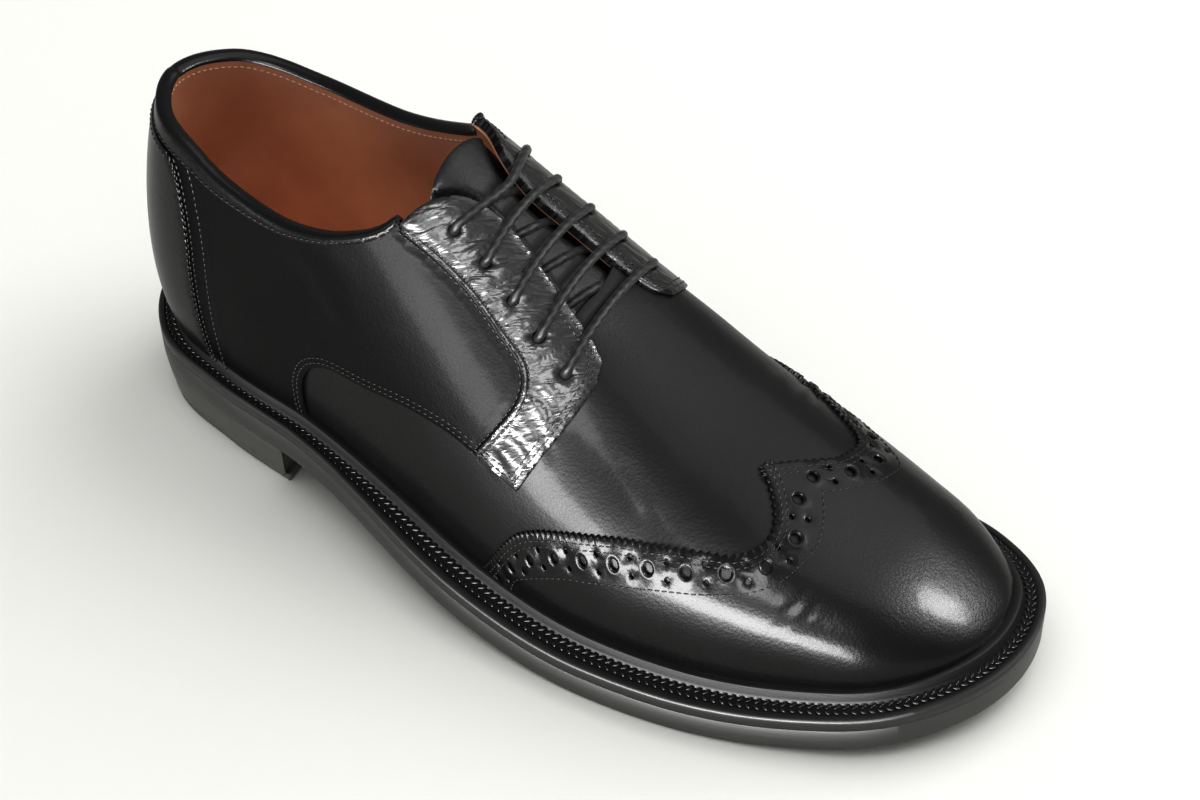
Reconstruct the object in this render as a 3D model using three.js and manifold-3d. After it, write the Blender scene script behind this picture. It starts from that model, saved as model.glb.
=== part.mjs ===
// Right lace-up shoe: a short-wing brogue with open lacing, storm welt and stacked heel.
// Millimetres. +X runs to the toe, +Y to the wearer's left (big-toe side), +Z up, floor at z = 0.
// Every piece is worked out from one last: ribs that rise from the feather line, where the upper
// meets the welt, to the ridge over the instep.
import * as THREE from 'three';
import { mergeVertices } from 'three/addons/utils/BufferGeometryUtils.js';
import Module from 'manifold-3d';

const wasm = await Module();
wasm.setup();

// Driving sizes of the last
const LAST_LENGTH = 281.5;
const BALL_WIDTH = 94;
const INSTEP_HEIGHT = 129.5;
const COLLAR_HEIGHT = 115.5;
const TOE_SPRING = 8.8;

// Sole, welt and heel
const OUTSOLE_THICK = 9;
const WELT_THICK = 4.2;
const WELT_REACH = 11.5;
const RIB_HEIGHT = 3.4;
const RIB_WIDTH = 3.8;
const HEEL_LIFT = 15.6;
const TOP_PIECE_THICK = 3.2;
const HEEL_TAPER = 1.9;
const EDGE_BEVEL = 1;
const INSOLE_THICK = 4.5;

// Upper, overlays and laces
const WALL = 2.2;
const QUARTER_STEP = 1.4;
const OVERLAY_THICK = 1.3;
const TONGUE_THICK = 2.4;
const TONGUE_WIDTH = 50;
const THROAT_GAP = 25;
const COLLAR_BAND = 8;
const EYELET_BORE = 3;
const EYELET_DEPTH = 14;
const LACE_THICK = 2.8;
const GAP = 0.3;

// Fineness of the faceted forms
const STATIONS = 25;
const HEEL_RIBS = 12;
const RIB_STEPS = 9;
const RING_STEPS = 64;
const OUTLINE_STEPS = 720;
const FAR = 260;

// Places along the shoe, as shares of the last's length from heel to toe
const HEEL_AXIS = 0.117;
const BREAST_AT = 0.216;
const TREAD_BACK = 0.65;
const TREAD_FRONT = 0.715;
const TOE_START = 0.873;
const FLAT_ENDS = [BREAST_AT, TREAD_BACK, TREAD_FRONT];

const lengthwise = (share) => (share - 0.5) * LAST_LENGTH;
const shareOf = (x) => x / LAST_LENGTH + 0.5;

// Rows of numbers become rows with named columns
function table(columns, rows) {
  const names = columns.split(' ');
  return rows.map((row) => Object.fromEntries(names.map((name, i) => [name, row[i]])));
}

// Feather line round the last: along is a share of LAST_LENGTH, across a share of BALL_WIDTH
const FEATHER = table('along across', [
  [1, 0.064], [0.987, -0.106], [0.933, -0.303], [0.855, -0.425], [0.749, -0.521], [0.624, -0.558],
  [0.5, -0.527], [0.376, -0.447], [0.251, -0.367], [0.127, -0.308], [0.038, -0.207], [0, 0],
  [0.038, 0.213], [0.127, 0.303], [0.251, 0.287], [0.376, 0.282], [0.5, 0.34], [0.624, 0.42],
  [0.749, 0.441], [0.855, 0.404], [0.933, 0.34], [0.985, 0.223],
]);

// Sections of the last. Bulges are shares of BALL_WIDTH and ridge one of INSTEP_HEIGHT; wall and
// top say how far the section's lower and upper curves reach, lateral (out) and medial (in).
const SECTIONS = table('along outBulge outWall outTop inBulge inWall inTop ridge', [
  [0.117, 0.074, 0.34, 0.73, 0.069, 0.62, 0.83, 1.205],
  [0.234, 0.046, 0.32, 0.77, 0.072, 0.68, 0.89, 1.12],
  [0.358, 0.048, 0.28, 0.74, 0.106, 0.8, 0.93, 0.99],
  [0.465, 0.043, 0.34, 0.68, 0.112, 0.84, 0.95, 0.82],
  [0.571, 0.052, 0.45, 0.64, 0.106, 0.82, 0.9, 0.65],
  [0.678, 0.064, 0.61, 0.68, 0.083, 0.72, 0.78, 0.525],
  [0.784, 0.066, 0.74, 0.72, 0.055, 0.65, 0.68, 0.436],
  [0.873, 0.055, 0.78, 0.73, 0.034, 0.66, 0.66, 0.353],
]);
const BACK_RIB = { bulge: 0.165, wall: 0.2, top: 0.76 };

// Middle of the instep, a share of BALL_WIDTH across
const MIDDLE = table('along across', [
  [0.117, 0], [0.358, 0.032], [0.54, 0.032], [0.713, 0.012], [0.855, 0.032], [1, 0.064],
]);

// How far the welt stands out from the feather line, as shares of WELT_REACH
const REACH = table('along out in', [
  [0, 0.83, 0.83], [0.127, 0.65, 0.65], [0.287, 0.74, 0.565], [0.429, 1, 0.52], [0.607, 1, 0.52],
  [0.784, 0.957, 0.61], [1, 0.87, 0.87],
]);

// Top edge of the collar, as shares of COLLAR_HEIGHT, lateral (out) and medial (in)
const TOPLINE = table('along out in', [
  [-0.2, 1, 1], [0.01, 1, 1], [0.038, 1.002, 0.968], [0.084, 0.982, 0.927], [0.145, 0.93, 0.896],
  [0.216, 0.893, 0.895], [0.269, 0.905, 0.91], [0.315, 0.943, 0.945], [0.34, 0.974, 0.978],
  [0.354, 1.01, 1.02], [0.362, 1.06, 1.07], [0.365, 1.15, 1.15], [0.368, 1.3, 1.3],
]);

// Half the width of the throat, as shares of THROAT_GAP; it flares round the facings' top corners
const THROAT = table('along half', [
  [0.28, 0.95], [0.34, 0.9], [0.363, 0.74], [0.378, 0.6], [0.393, 0.42], [0.411, 0.3],
  [0.447, 0.27], [0.486, 0.36], [0.521, 0.44], [0.55, 0.5], [0.567, 0.58], [0.585, 0.8],
]);
const VAMP_THROAT_END = 0.53;

// Lower and front edge of the quarters from the welt to the facing: up is a share of COLLAR_HEIGHT
const QUARTER_EDGE = table('along up', [
  [0.247, 0], [0.245, 0.3], [0.244, 0.375], [0.256, 0.438], [0.282, 0.479], [0.339, 0.539],
  [0.402, 0.556], [0.453, 0.546], [0.485, 0.525], [0.538, 0.475], [0.553, 0.545], [0.565, 0.622],
  [0.575, 0.684], [0.579, 0.9],
]);

// Front edge of the heel counter, from under the collar band to the welt
const COUNTER_EDGE = table('along up', [
  [0.045, 0.93], [0.062, 0.927], [0.077, 0.891], [0.088, 0.771], [0.092, 0.667], [0.091, 0.52],
  [0.093, 0.416], [0.099, 0.26], [0.099, 0],
]);

// Edge of the wing cap from the lateral welt over the peak to the medial welt: up is a share of
// the rib from feather line to ridge
const WING_EDGE = table('along up side', [
  [0.5, -0.02, -1], [0.508, 0.1, -1], [0.535, 0.21, -1], [0.57, 0.31, -1], [0.633, 0.41, -1],
  [0.673, 0.47, -1], [0.713, 0.52, -1], [0.76, 0.59, -1], [0.779, 0.69, -1], [0.78, 0.79, -1],
  [0.762, 0.88, -1], [0.738, 0.96, -1], [0.733, 1, 1], [0.743, 0.95, 1], [0.773, 0.84, 1],
  [0.795, 0.78, 1], [0.791, 0.69, 1], [0.756, 0.56, 1], [0.681, 0.42, 1], [0.633, 0.31, 1],
  [0.599, 0.23, 1], [0.567, 0.14, 1], [0.546, 0.05, 1], [0.541, -0.02, 1],
]);

// Eyelets, top to bottom: out and in are the distances from the middle, shares of THROAT_GAP
const EYELETS = table('along out in', [
  [0.404, 0.7, 0.7], [0.44, 0.72, 0.7], [0.476, 0.8, 0.76], [0.51, 0.88, 0.84], [0.545, 0.96, 0.88],
]);
const TOP_BAR_SLACK = 4.5;

// Tongue: half width as a share of TONGUE_WIDTH
const TONGUE = table('along half', [
  [0.343, 0.0], [0.345, 0.26], [0.352, 0.4], [0.365, 0.48], [0.39, 0.5], [0.45, 0.49],
  [0.54, 0.45], [0.6, 0.4],
]);

// Smooth curve through one column of a table
function follow(rows, column, share) {
  const last = rows.length - 1;
  const at = THREE.MathUtils.clamp(share, rows[0].along, rows[last].along);
  let i = 0;
  while (i < last - 1 && at > rows[i + 1].along) {
    i += 1;
  }
  const slope = (k) => {
    const a = rows[Math.max(k - 1, 0)];
    const b = rows[Math.min(k + 1, last)];
    return (b[column] - a[column]) / (b.along - a.along);
  };
  const span = rows[i + 1].along - rows[i].along;
  const t = (at - rows[i].along) / span;
  const rise = rows[i + 1][column] - rows[i][column];
  const bendStart = slope(i) * span - rise;
  const bendEnd = rise - slope(i + 1) * span;
  return rows[i][column] + t * rise + t * (1 - t) * (bendStart * (1 - t) + bendEnd * t);
}

// Heights of the sole: flat seat, arch, flat tread and toe spring
function treadHeight(x) {
  const ease = THREE.MathUtils.smoothstep(x, lengthwise(BREAST_AT), lengthwise(TREAD_BACK));
  const past = Math.max(0, x - lengthwise(TREAD_FRONT));
  const run = lengthwise(1) + WELT_REACH - lengthwise(TREAD_FRONT);
  return HEEL_LIFT * (1 - ease) + TOE_SPRING * (past / run) ** 2;
}
const outsoleTop = (x) => treadHeight(x) + OUTSOLE_THICK;
const weltTop = (x) => outsoleTop(x) + WELT_THICK;
const ribTop = (x) => weltTop(x) + RIB_HEIGHT;
const middle = (x) => follow(MIDDLE, 'across', shareOf(x)) * BALL_WIDTH;

// Closed outlines in plan
function closedOutline(points) {
  const curve = new THREE.CatmullRomCurve3(points, true, 'centripetal');
  return curve.getSpacedPoints(OUTLINE_STEPS).slice(0, OUTLINE_STEPS);
}
function outwards(outline, i) {
  const ahead = outline[(i + 1) % outline.length];
  const behind = outline[(i + outline.length - 1) % outline.length];
  return new THREE.Vector3(ahead.y - behind.y, behind.x - ahead.x, 0).normalize().negate();
}
const featherLine = closedOutline(FEATHER.map((row) => (
  new THREE.Vector3(lengthwise(row.along), row.across * BALL_WIDTH, 0)
)));
function widened(outline, distance) {
  return outline.map((p, i) => p.clone().addScaledVector(outwards(outline, i), distance(p)));
}
function weltReach(p) {
  const column = p.y < middle(p.x) ? 'out' : 'in';
  return WELT_REACH * follow(REACH, column, shareOf(p.x));
}
const soleLine = widened(featherLine, weltReach);

// Distance from a point to an outline, in a given direction
function reachTo(outline, origin, direction) {
  let found = 0;
  for (let i = 0; i < outline.length; i += 1) {
    const a = outline[i];
    const b = outline[(i + 1) % outline.length];
    const edgeX = b.x - a.x;
    const edgeY = b.y - a.y;
    const turn = direction.x * edgeY - direction.y * edgeX;
    const away = ((a.x - origin.x) * edgeY - (a.y - origin.y) * edgeX) / turn;
    const along = ((a.x - origin.x) * direction.y - (a.y - origin.y) * direction.x) / turn;
    if (along >= 0 && along <= 1 && away > found) {
      found = away;
    }
  }
  return found;
}

// Height of the ridge: along the instep from the table, then a round fall to the toe
function ridgeHeight(x) {
  const start = lengthwise(TOE_START);
  const height = (share) => follow(SECTIONS, 'ridge', share) * INSTEP_HEIGHT;
  if (x <= start) {
    return height(shareOf(x));
  }
  const step = 0.001;
  const fall = (height(TOE_START) - height(TOE_START - step)) / (step * LAST_LENGTH);
  const crown = height(TOE_START) + fall * (x - start) - weltTop(x);
  const u = Math.min(1, (x - start) / (lengthwise(1) - start));
  return weltTop(x) + crown * Math.sqrt(1 - u ** 2.6);
}

// One rib as a Bezier curve. A rib stands across the shoe, or fans out round the heel's axis.
const LOW_TOE = 25;
function rib(axisX, direction) {
  const origin = new THREE.Vector3(axisX, middle(axisX), 0);
  const reach = reachTo(featherLine, origin, direction);
  const foot = origin.clone().addScaledVector(direction, reach).setZ(weltTop(axisX + direction.x * reach));
  const side = direction.y < 0 ? 'out' : 'in';
  const share = Math.min(shareOf(axisX), TOE_START);
  const turned = Math.abs(direction.x) ** 1.5;
  const mixed = (name) => THREE.MathUtils.lerp(
    follow(SECTIONS, side + name, share),
    BACK_RIB[name.toLowerCase()],
    turned,
  );
  const top = ridgeHeight(axisX);
  const rise = Math.max(top - foot.z, 0);
  const bulge = mixed('Bulge') * BALL_WIDTH * Math.min(1, rise / LOW_TOE);
  const lower = foot.clone().addScaledVector(direction, bulge);
  lower.z = foot.z + mixed('Wall') * rise;
  const upper = origin.clone().addScaledVector(direction, reach * mixed('Top')).setZ(top);
  return new THREE.CubicBezierCurve3(foot, lower, upper, origin.clone().setZ(top));
}
const across = (side) => new THREE.Vector3(0, side, 0);
const onLast = (along, up, side) => rib(lengthwise(along), across(side)).getPoint(Math.max(up, 0));

// Point and outward normal of the last at a distance from its middle
function besideMiddle(along, distance, side) {
  let low = 0;
  let high = 1;
  const curve = rib(lengthwise(along), across(side));
  for (let i = 0; i < 24; i += 1) {
    const half = (low + high) / 2;
    const wide = Math.abs(curve.getPoint(half).y - middle(lengthwise(along))) > distance;
    low = wide ? half : low;
    high = wide ? high : half;
  }
  const step = 0.01;
  const point = curve.getPoint(low);
  const rise = curve.getTangent(low);
  const ahead = onLast(along + step, low, side).sub(point);
  const normal = new THREE.Vector3().crossVectors(rise, ahead).normalize();
  return { point, normal: normal.z < 0 ? normal.negate() : normal };
}

// Ribs in order: lateral side from the toe, round the heel, medial side back to the toe
function stationAt(i) {
  const t = i / STATIONS;
  const ease = 0.3 * t + 0.7 * Math.sin((t * Math.PI) / 2);
  return lengthwise(THREE.MathUtils.lerp(HEEL_AXIS, 1, ease));
}
function allRibs() {
  const ribs = [];
  for (let i = STATIONS; i >= 0; i -= 1) {
    ribs.push(rib(stationAt(i), across(-1)));
  }
  for (let i = 1; i < HEEL_RIBS; i += 1) {
    const angle = Math.PI * (i / HEEL_RIBS);
    const direction = new THREE.Vector3(-Math.sin(angle), -Math.cos(angle), 0);
    ribs.push(rib(lengthwise(HEEL_AXIS), direction));
  }
  for (let i = 0; i < STATIONS; i += 1) {
    ribs.push(rib(stationAt(i), across(1)));
  }
  return ribs;
}

// Closed forms as geometry
function geometryOf(points, triangles) {
  const geometry = new THREE.BufferGeometry();
  geometry.setAttribute('position', new THREE.Float32BufferAttribute(points.flatMap((p) => [p.x, p.y, p.z]), 3));
  geometry.setIndex(triangles);
  return mergeVertices(geometry, 0.001);
}

// Solids and their joins and cuts
function solidOf(geometry) {
  const bare = geometry.clone();
  bare.deleteAttribute('normal');
  bare.deleteAttribute('uv');
  const merged = mergeVertices(bare, 0.0005);
  const index = Array.from(merged.index.array);
  const kept = [];
  for (let i = 0; i < index.length; i += 3) {
    const [a, b, c] = index.slice(i, i + 3);
    if (a !== b && b !== c && c !== a) {
      kept.push(a, b, c);
    }
  }
  const vertProperties = new Float32Array(merged.attributes.position.array);
  return new wasm.Manifold(new wasm.Mesh({ numProp: 3, vertProperties, triVerts: new Uint32Array(kept) }));
}
function geometryFrom(solid) {
  const mesh = solid.getMesh();
  const geometry = new THREE.BufferGeometry();
  geometry.setAttribute('position', new THREE.Float32BufferAttribute(mesh.vertProperties, 3));
  geometry.setIndex(Array.from(mesh.triVerts));
  return geometry;
}

// The whole last as a closed form with a skirt below the feather line
const SKIRT_DEPTHS = [WELT_THICK + OUTSOLE_THICK + 6, WELT_THICK + 2];
const KEEL = new THREE.Vector3(0, -5, -12);
function lastGeometry() {
  const ribs = allRibs();
  const rows = SKIRT_DEPTHS.length + RIB_STEPS + 1;
  const points = [];
  ribs.forEach((curve) => {
    SKIRT_DEPTHS.forEach((depth) => points.push(curve.v0.clone().setZ(curve.v0.z - depth)));
    for (let j = 0; j <= RIB_STEPS; j += 1) {
      points.push(curve.getPoint(j / RIB_STEPS));
    }
  });
  const triangles = [];
  for (let i = 0; i < ribs.length; i += 1) {
    const here = i * rows;
    const next = ((i + 1) % ribs.length) * rows;
    for (let j = 0; j < rows - 1; j += 1) {
      triangles.push(here + j, here + j + 1, next + j + 1, here + j, next + j + 1, next + j);
    }
    triangles.push(points.length, here, next);
  }
  points.push(KEEL);
  return geometryOf(points, triangles);
}
const lastForm = lastGeometry();
lastForm.computeVertexNormals();

// The last swollen, or shrunk where the distance is negative, along its normals
function swollen(distance) {
  const geometry = lastForm.clone();
  const { position, normal } = geometry.attributes;
  for (let i = 0; i < position.count; i += 1) {
    const point = new THREE.Vector3().fromBufferAttribute(position, i);
    point.addScaledVector(new THREE.Vector3().fromBufferAttribute(normal, i), distance);
    position.setXYZ(i, point.x, point.y, point.z);
  }
  return solidOf(geometry);
}
const layer = (inner, outer) => swollen(outer).subtract(swollen(inner));

// Prisms to cut with: from a side view (x, z) across the shoe, or from a plan (x, y) upwards
function prism(points, depth) {
  const shape = new THREE.Shape(points.map(([a, b]) => new THREE.Vector2(a, b)));
  return new THREE.ExtrudeGeometry(shape, { depth, bevelEnabled: false });
}
function sidePrism(points, from, to) {
  return solidOf(prism(points, to - from).rotateX(Math.PI / 2).translate(0, to, 0));
}
function planPrism(points, from, to) {
  return solidOf(prism(points, to - from).translate(0, 0, from));
}
function below(level) {
  const points = [[FAR, -FAR], [-FAR, -FAR]];
  const steps = 26;
  const end = lengthwise(1.04);
  points[0][0] = end;
  points[1][0] = -end;
  for (let i = 0; i <= steps; i += 1) {
    const x = THREE.MathUtils.lerp(-end, end, i / steps);
    points.push([x, level(x)]);
  }
  return sidePrism(points, -FAR, FAR);
}
const edgePoints = (rows) => rows.map((row) => [lengthwise(row.along), row.up * COLLAR_HEIGHT]);
function smoothEdge(rows, steps) {
  const points = edgePoints(rows).map(([x, z]) => new THREE.Vector2(x, z));
  return new THREE.SplineCurve(points).getPoints(steps).map((p) => [p.x, p.y]);
}

// Openings and panels
function collarCut(column, from, to) {
  const points = [];
  const first = TOPLINE[0].along;
  const last = TOPLINE[TOPLINE.length - 1].along;
  const steps = 30;
  for (let i = 0; i <= steps; i += 1) {
    const share = THREE.MathUtils.lerp(first, last, i / steps);
    points.push([lengthwise(share), follow(TOPLINE, column, share) * COLLAR_HEIGHT]);
  }
  points.push([lengthwise(last), FAR], [lengthwise(first), FAR]);
  return sidePrism(points, from, to);
}
function slotPlan(rows, width, from, to, steps) {
  const sides = [[], []];
  for (let i = 0; i <= steps; i += 1) {
    const share = THREE.MathUtils.lerp(from, to, i / steps);
    const half = Math.max(follow(rows, 'half', share) * width, 0.05);
    const x = lengthwise(share);
    sides[0].push([x, middle(x) - half]);
    sides[1].unshift([x, middle(x) + half]);
  }
  return sides.flat();
}
function throatCut(end) {
  return planPrism(slotPlan(THROAT, THROAT_GAP, THROAT[0].along, end, 16), weltTop(0) + 20, FAR);
}
const quarterPanel = sidePrism(
  [...smoothEdge(QUARTER_EDGE, 30), [lengthwise(0.579), FAR], [-FAR, FAR], [-FAR, 0]],
  -FAR,
  FAR,
);
const counterPanel = sidePrism([[-FAR, COLLAR_HEIGHT - COLLAR_BAND], ...smoothEdge(COUNTER_EDGE, 14), [-FAR, 0]], -FAR, FAR);
const outerCollar = collarCut('out', -FAR, 0).add(collarCut('in', 0, FAR));

// A cone from inside the last through the wing cap's edge, closed far in front of the toe
function wingCone() {
  const centre = new THREE.Vector3(lengthwise(0.625), 0, 10);
  const steps = 34;
  const edge = new THREE.CatmullRomCurve3(WING_EDGE.map((row) => onLast(row.along, row.up, row.side)));
  const loop = edge.getSpacedPoints(steps);
  const low = (p) => new THREE.Vector3(p.x, p.y * 1.2, -30);
  loop.unshift(low(loop[0]));
  loop.push(low(loop[loop.length - 1]));
  const far = loop.map((p) => p.clone().sub(centre).multiplyScalar(4).add(centre));
  const front = new THREE.Vector3(FAR * 1.5, 0, 30);
  const points = [centre, front, ...far];
  const triangles = [];
  far.forEach((_, i) => {
    const next = (i + 1) % far.length;
    triangles.push(0, 2 + i, 2 + next, 1, 2 + next, 2 + i);
  });
  return solidOf(geometryOf(points, triangles));
}

// Upper: vamp and quarters in one wall, open at collar, throat and underneath
function eyeletBore(row, side) {
  const distance = (side < 0 ? row.out : row.in) * THROAT_GAP;
  const { point, normal } = besideMiddle(row.along, distance, side);
  const bore = new THREE.CylinderGeometry(EYELET_BORE / 2, EYELET_BORE / 2, EYELET_DEPTH, 8);
  const turn = new THREE.Quaternion().setFromUnitVectors(new THREE.Vector3(0, 1, 0), normal);
  return solidOf(bore.applyQuaternion(turn).translate(point.x, point.y, point.z));
}
function upper() {
  const vamp = swollen(0).subtract(throatCut(VAMP_THROAT_END));
  const quarters = swollen(QUARTER_STEP)
    .intersect(quarterPanel)
    .subtract(below((x) => ribTop(x) + GAP))
    .subtract(throatCut(THROAT[THROAT.length - 1].along));
  let solid = vamp.add(quarters).subtract(swollen(-WALL)).subtract(outerCollar);
  solid = solid.subtract(below((x) => outsoleTop(x) + GAP));
  EYELETS.forEach((row) => {
    solid = solid.subtract(eyeletBore(row, -1)).subtract(eyeletBore(row, 1));
  });
  return solid;
}

// Overlays lie between two larger forms of the same last
function wingCap() {
  return layer(GAP, GAP + OVERLAY_THICK)
    .intersect(wingCone())
    .subtract(below((x) => ribTop(x) + GAP));
}
function heelCounter() {
  const base = QUARTER_STEP + GAP;
  return layer(base, base + OVERLAY_THICK)
    .intersect(counterPanel)
    .subtract(below((x) => ribTop(x) + GAP));
}
function tongue() {
  const outer = -WALL - GAP;
  const first = TONGUE[0].along;
  const last = TONGUE[TONGUE.length - 1].along;
  const plan = slotPlan(TONGUE, TONGUE_WIDTH, first, last, 26);
  return layer(outer - TONGUE_THICK, outer).intersect(planPrism(plan, weltTop(0) + 20, FAR));
}
function insole() {
  const level = (x) => outsoleTop(x) + GAP;
  return swollen(-WALL - GAP)
    .intersect(below((x) => level(x) + INSOLE_THICK))
    .subtract(below(level));
}

// Welt: a strip round the upper with a raised rib that leans on it
function welt() {
  const ring = [];
  const rows = 8;
  for (let i = 0; i < RING_STEPS; i += 1) {
    const k = Math.round((i * OUTLINE_STEPS) / RING_STEPS);
    const foot = featherLine[k];
    const out = outwards(featherLine, k);
    const reach = weltReach(foot);
    const profile = [
      [-1, 0], [reach, 0], [reach, WELT_THICK - EDGE_BEVEL / 2], [reach - EDGE_BEVEL / 2, WELT_THICK],
      [RIB_WIDTH, WELT_THICK], [RIB_WIDTH * 0.86, WELT_THICK + RIB_HEIGHT * 0.8],
      [RIB_WIDTH * 0.5, WELT_THICK + RIB_HEIGHT], [-1, WELT_THICK + RIB_HEIGHT],
    ];
    profile.forEach(([away, up]) => {
      const point = foot.clone().addScaledVector(out, away);
      ring.push(point.setZ(outsoleTop(point.x) + GAP + up * (1 - GAP / WELT_THICK / 2)));
    });
  }
  const triangles = [];
  for (let i = 0; i < RING_STEPS; i += 1) {
    const next = (i + 1) % RING_STEPS;
    for (let j = 0; j < rows; j += 1) {
      const a = i * rows + j;
      const b = next * rows + j;
      const a1 = i * rows + ((j + 1) % rows);
      const b1 = next * rows + ((j + 1) % rows);
      triangles.push(a, a1, b1, a, b1, b);
    }
  }
  return solidOf(geometryOf(ring, triangles)).subtract(swollen(GAP));
}

// A plate between two heights that follow the shoe's length, cut in strips across
function plate(outline, bottom, top, from, to, taper) {
  const ringOf = (x, pull) => {
    const centre = new THREE.Vector3(x, middle(x), 0);
    const lateral = centre.y - reachTo(outline, centre, across(-1));
    const medial = centre.y + reachTo(outline, centre, across(1));
    const low = THREE.MathUtils.lerp(x, to, pull * 0.02);
    const bevel = Math.min(EDGE_BEVEL, (medial - lateral) / 4);
    const inset = taper + bevel;
    return [
      [low, lateral + inset, bottom(x)], [low, lateral + taper, bottom(x) + bevel],
      [x, lateral, top(x)], [x, medial, top(x)],
      [low, medial - taper, bottom(x) + bevel], [low, medial - inset, bottom(x)],
    ].map(([px, py, pz]) => new THREE.Vector3(px, py, pz));
  };
  const places = FLAT_ENDS.map(lengthwise).filter((x) => x > from && x < to);
  const count = 28;
  for (let i = 0; i <= count; i += 1) {
    const x = THREE.MathUtils.lerp(from, to, (1 - Math.cos((Math.PI * i) / count)) / 2);
    if (places.every((place) => Math.abs(place - x) > 2)) {
      places.push(x);
    }
  }
  places.sort((a, b) => a - b);
  const points = places.flatMap((x) => ringOf(x, taper));
  const steps = places.length - 1;
  const rows = 6;
  const triangles = [];
  for (let i = 0; i < steps; i += 1) {
    for (let j = 0; j < rows; j += 1) {
      const a = i * rows + j;
      const a1 = i * rows + ((j + 1) % rows);
      triangles.push(a, a1 + rows, a1, a, a + rows, a1 + rows);
    }
  }
  for (let j = 1; j < rows - 1; j += 1) {
    const end = steps * rows;
    triangles.push(0, j, j + 1, end, end + j + 1, end + j);
  }
  return solidOf(geometryOf(points, triangles));
}
const lengths = soleLine.map((p) => p.x);
const TIP_FLAT = 0.2;
const soleBack = Math.min(...lengths) + TIP_FLAT;
const soleFront = Math.max(...lengths) - TIP_FLAT;
const breast = lengthwise(BREAST_AT);
const outsole = () => plate(soleLine, treadHeight, outsoleTop, soleBack, soleFront, 0);
const heelBlock = () => plate(
  soleLine, () => TOP_PIECE_THICK + GAP, () => HEEL_LIFT - GAP, soleBack, breast, HEEL_TAPER,
);
const topLine = widened(soleLine, () => -HEEL_TAPER);
const topPiece = () => plate(
  topLine, () => 0, () => TOP_PIECE_THICK, soleBack + HEEL_TAPER, breast, 0,
);

// Lace bars from eyelet to eyelet over the throat
function laceBar(row, number) {
  const lift = QUARTER_STEP + GAP * 2 + LACE_THICK / 2;
  const over = (along, distance, side) => {
    const { point, normal } = besideMiddle(along, distance, side);
    return point.addScaledVector(normal, lift);
  };
  const edge = follow(THROAT, 'half', row.along) * THROAT_GAP;
  const points = [
    over(row.along, row.out * THROAT_GAP, -1), over(row.along, edge + 2, -1),
    over(row.along, edge + 2, 1), over(row.along, row.in * THROAT_GAP, 1),
  ];
  const slack = number === 0 ? TOP_BAR_SLACK : 0;
  const centre = points[1].clone().lerp(points[2], 0.5);
  centre.x += slack;
  centre.z = onLast(shareOf(centre.x), 1, 1).z + lift;
  points.splice(2, 0, centre);
  const path = new THREE.CatmullRomCurve3(points, false, 'centripetal');
  const round = new THREE.Shape().absarc(0, 0, LACE_THICK / 2, 0, Math.PI * 2);
  return new THREE.ExtrudeGeometry(round, {
    steps: 8, curveSegments: 4, bevelEnabled: false, extrudePath: path,
  });
}

// Finishes
const polishedCalf = { color: 0x1b1b1c, roughness: 0.28, metalness: 0 };
const softCalf = { color: 0x202022, roughness: 0.4, metalness: 0 };
const tanLining = { color: 0x8a4a2c, roughness: 0.6, metalness: 0 };
const dressedEdge = { color: 0x34352f, roughness: 0.45, metalness: 0 };
const heelRubber = { color: 0x1d1d1c, roughness: 0.8, metalness: 0 };
const waxedCord = { color: 0x141414, roughness: 0.6, metalness: 0 };

const shoe = new THREE.Group();
function addPiece(name, geometry, finish) {
  const piece = new THREE.Mesh(geometry, new THREE.MeshStandardMaterial(finish));
  piece.name = name;
  shoe.add(piece);
}
addPiece('outsole', geometryFrom(outsole()), dressedEdge);
addPiece('heel_block', geometryFrom(heelBlock()), dressedEdge);
addPiece('heel_top_piece', geometryFrom(topPiece()), heelRubber);
addPiece('welt', geometryFrom(welt()), dressedEdge);
addPiece('insole', geometryFrom(insole()), tanLining);
addPiece('upper', geometryFrom(upper()), polishedCalf);
addPiece('wing_cap', geometryFrom(wingCap()), polishedCalf);
addPiece('heel_counter', geometryFrom(heelCounter()), polishedCalf);
addPiece('tongue', geometryFrom(tongue()), softCalf);
EYELETS.forEach((row, i) => addPiece(`lace_bar_${i + 1}`, laceBar(row, i), waxedCord));

// The origin stands under the middle of the sole
const widths = soleLine.map((p) => p.y);
shoe.position.x = -(Math.min(...lengths) + Math.max(...lengths)) / 2;
shoe.position.y = -(Math.min(...widths) + Math.max(...widths)) / 2;

export default shoe;
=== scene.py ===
# %% [markdown]
# # A black brogue shoe, dressed in Blender
# The CAD model gives the true last, sole and heel as plain faceted solids. This lesson puts the
# finished surfaces on them: calf panels with cut edges and punched holes, the lining, the welt with
# its braided stitching, the dressed sole edge and the lace. Lengths are millimetres until a mesh is
# made, because a shoemaker works in millimetres, and Blender then gets metres.

# %% Load the frame
import math

import bmesh
import bpy
import numpy as np
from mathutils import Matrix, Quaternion, Vector
from mathutils.geometry import delaunay_2d_cdt


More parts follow.
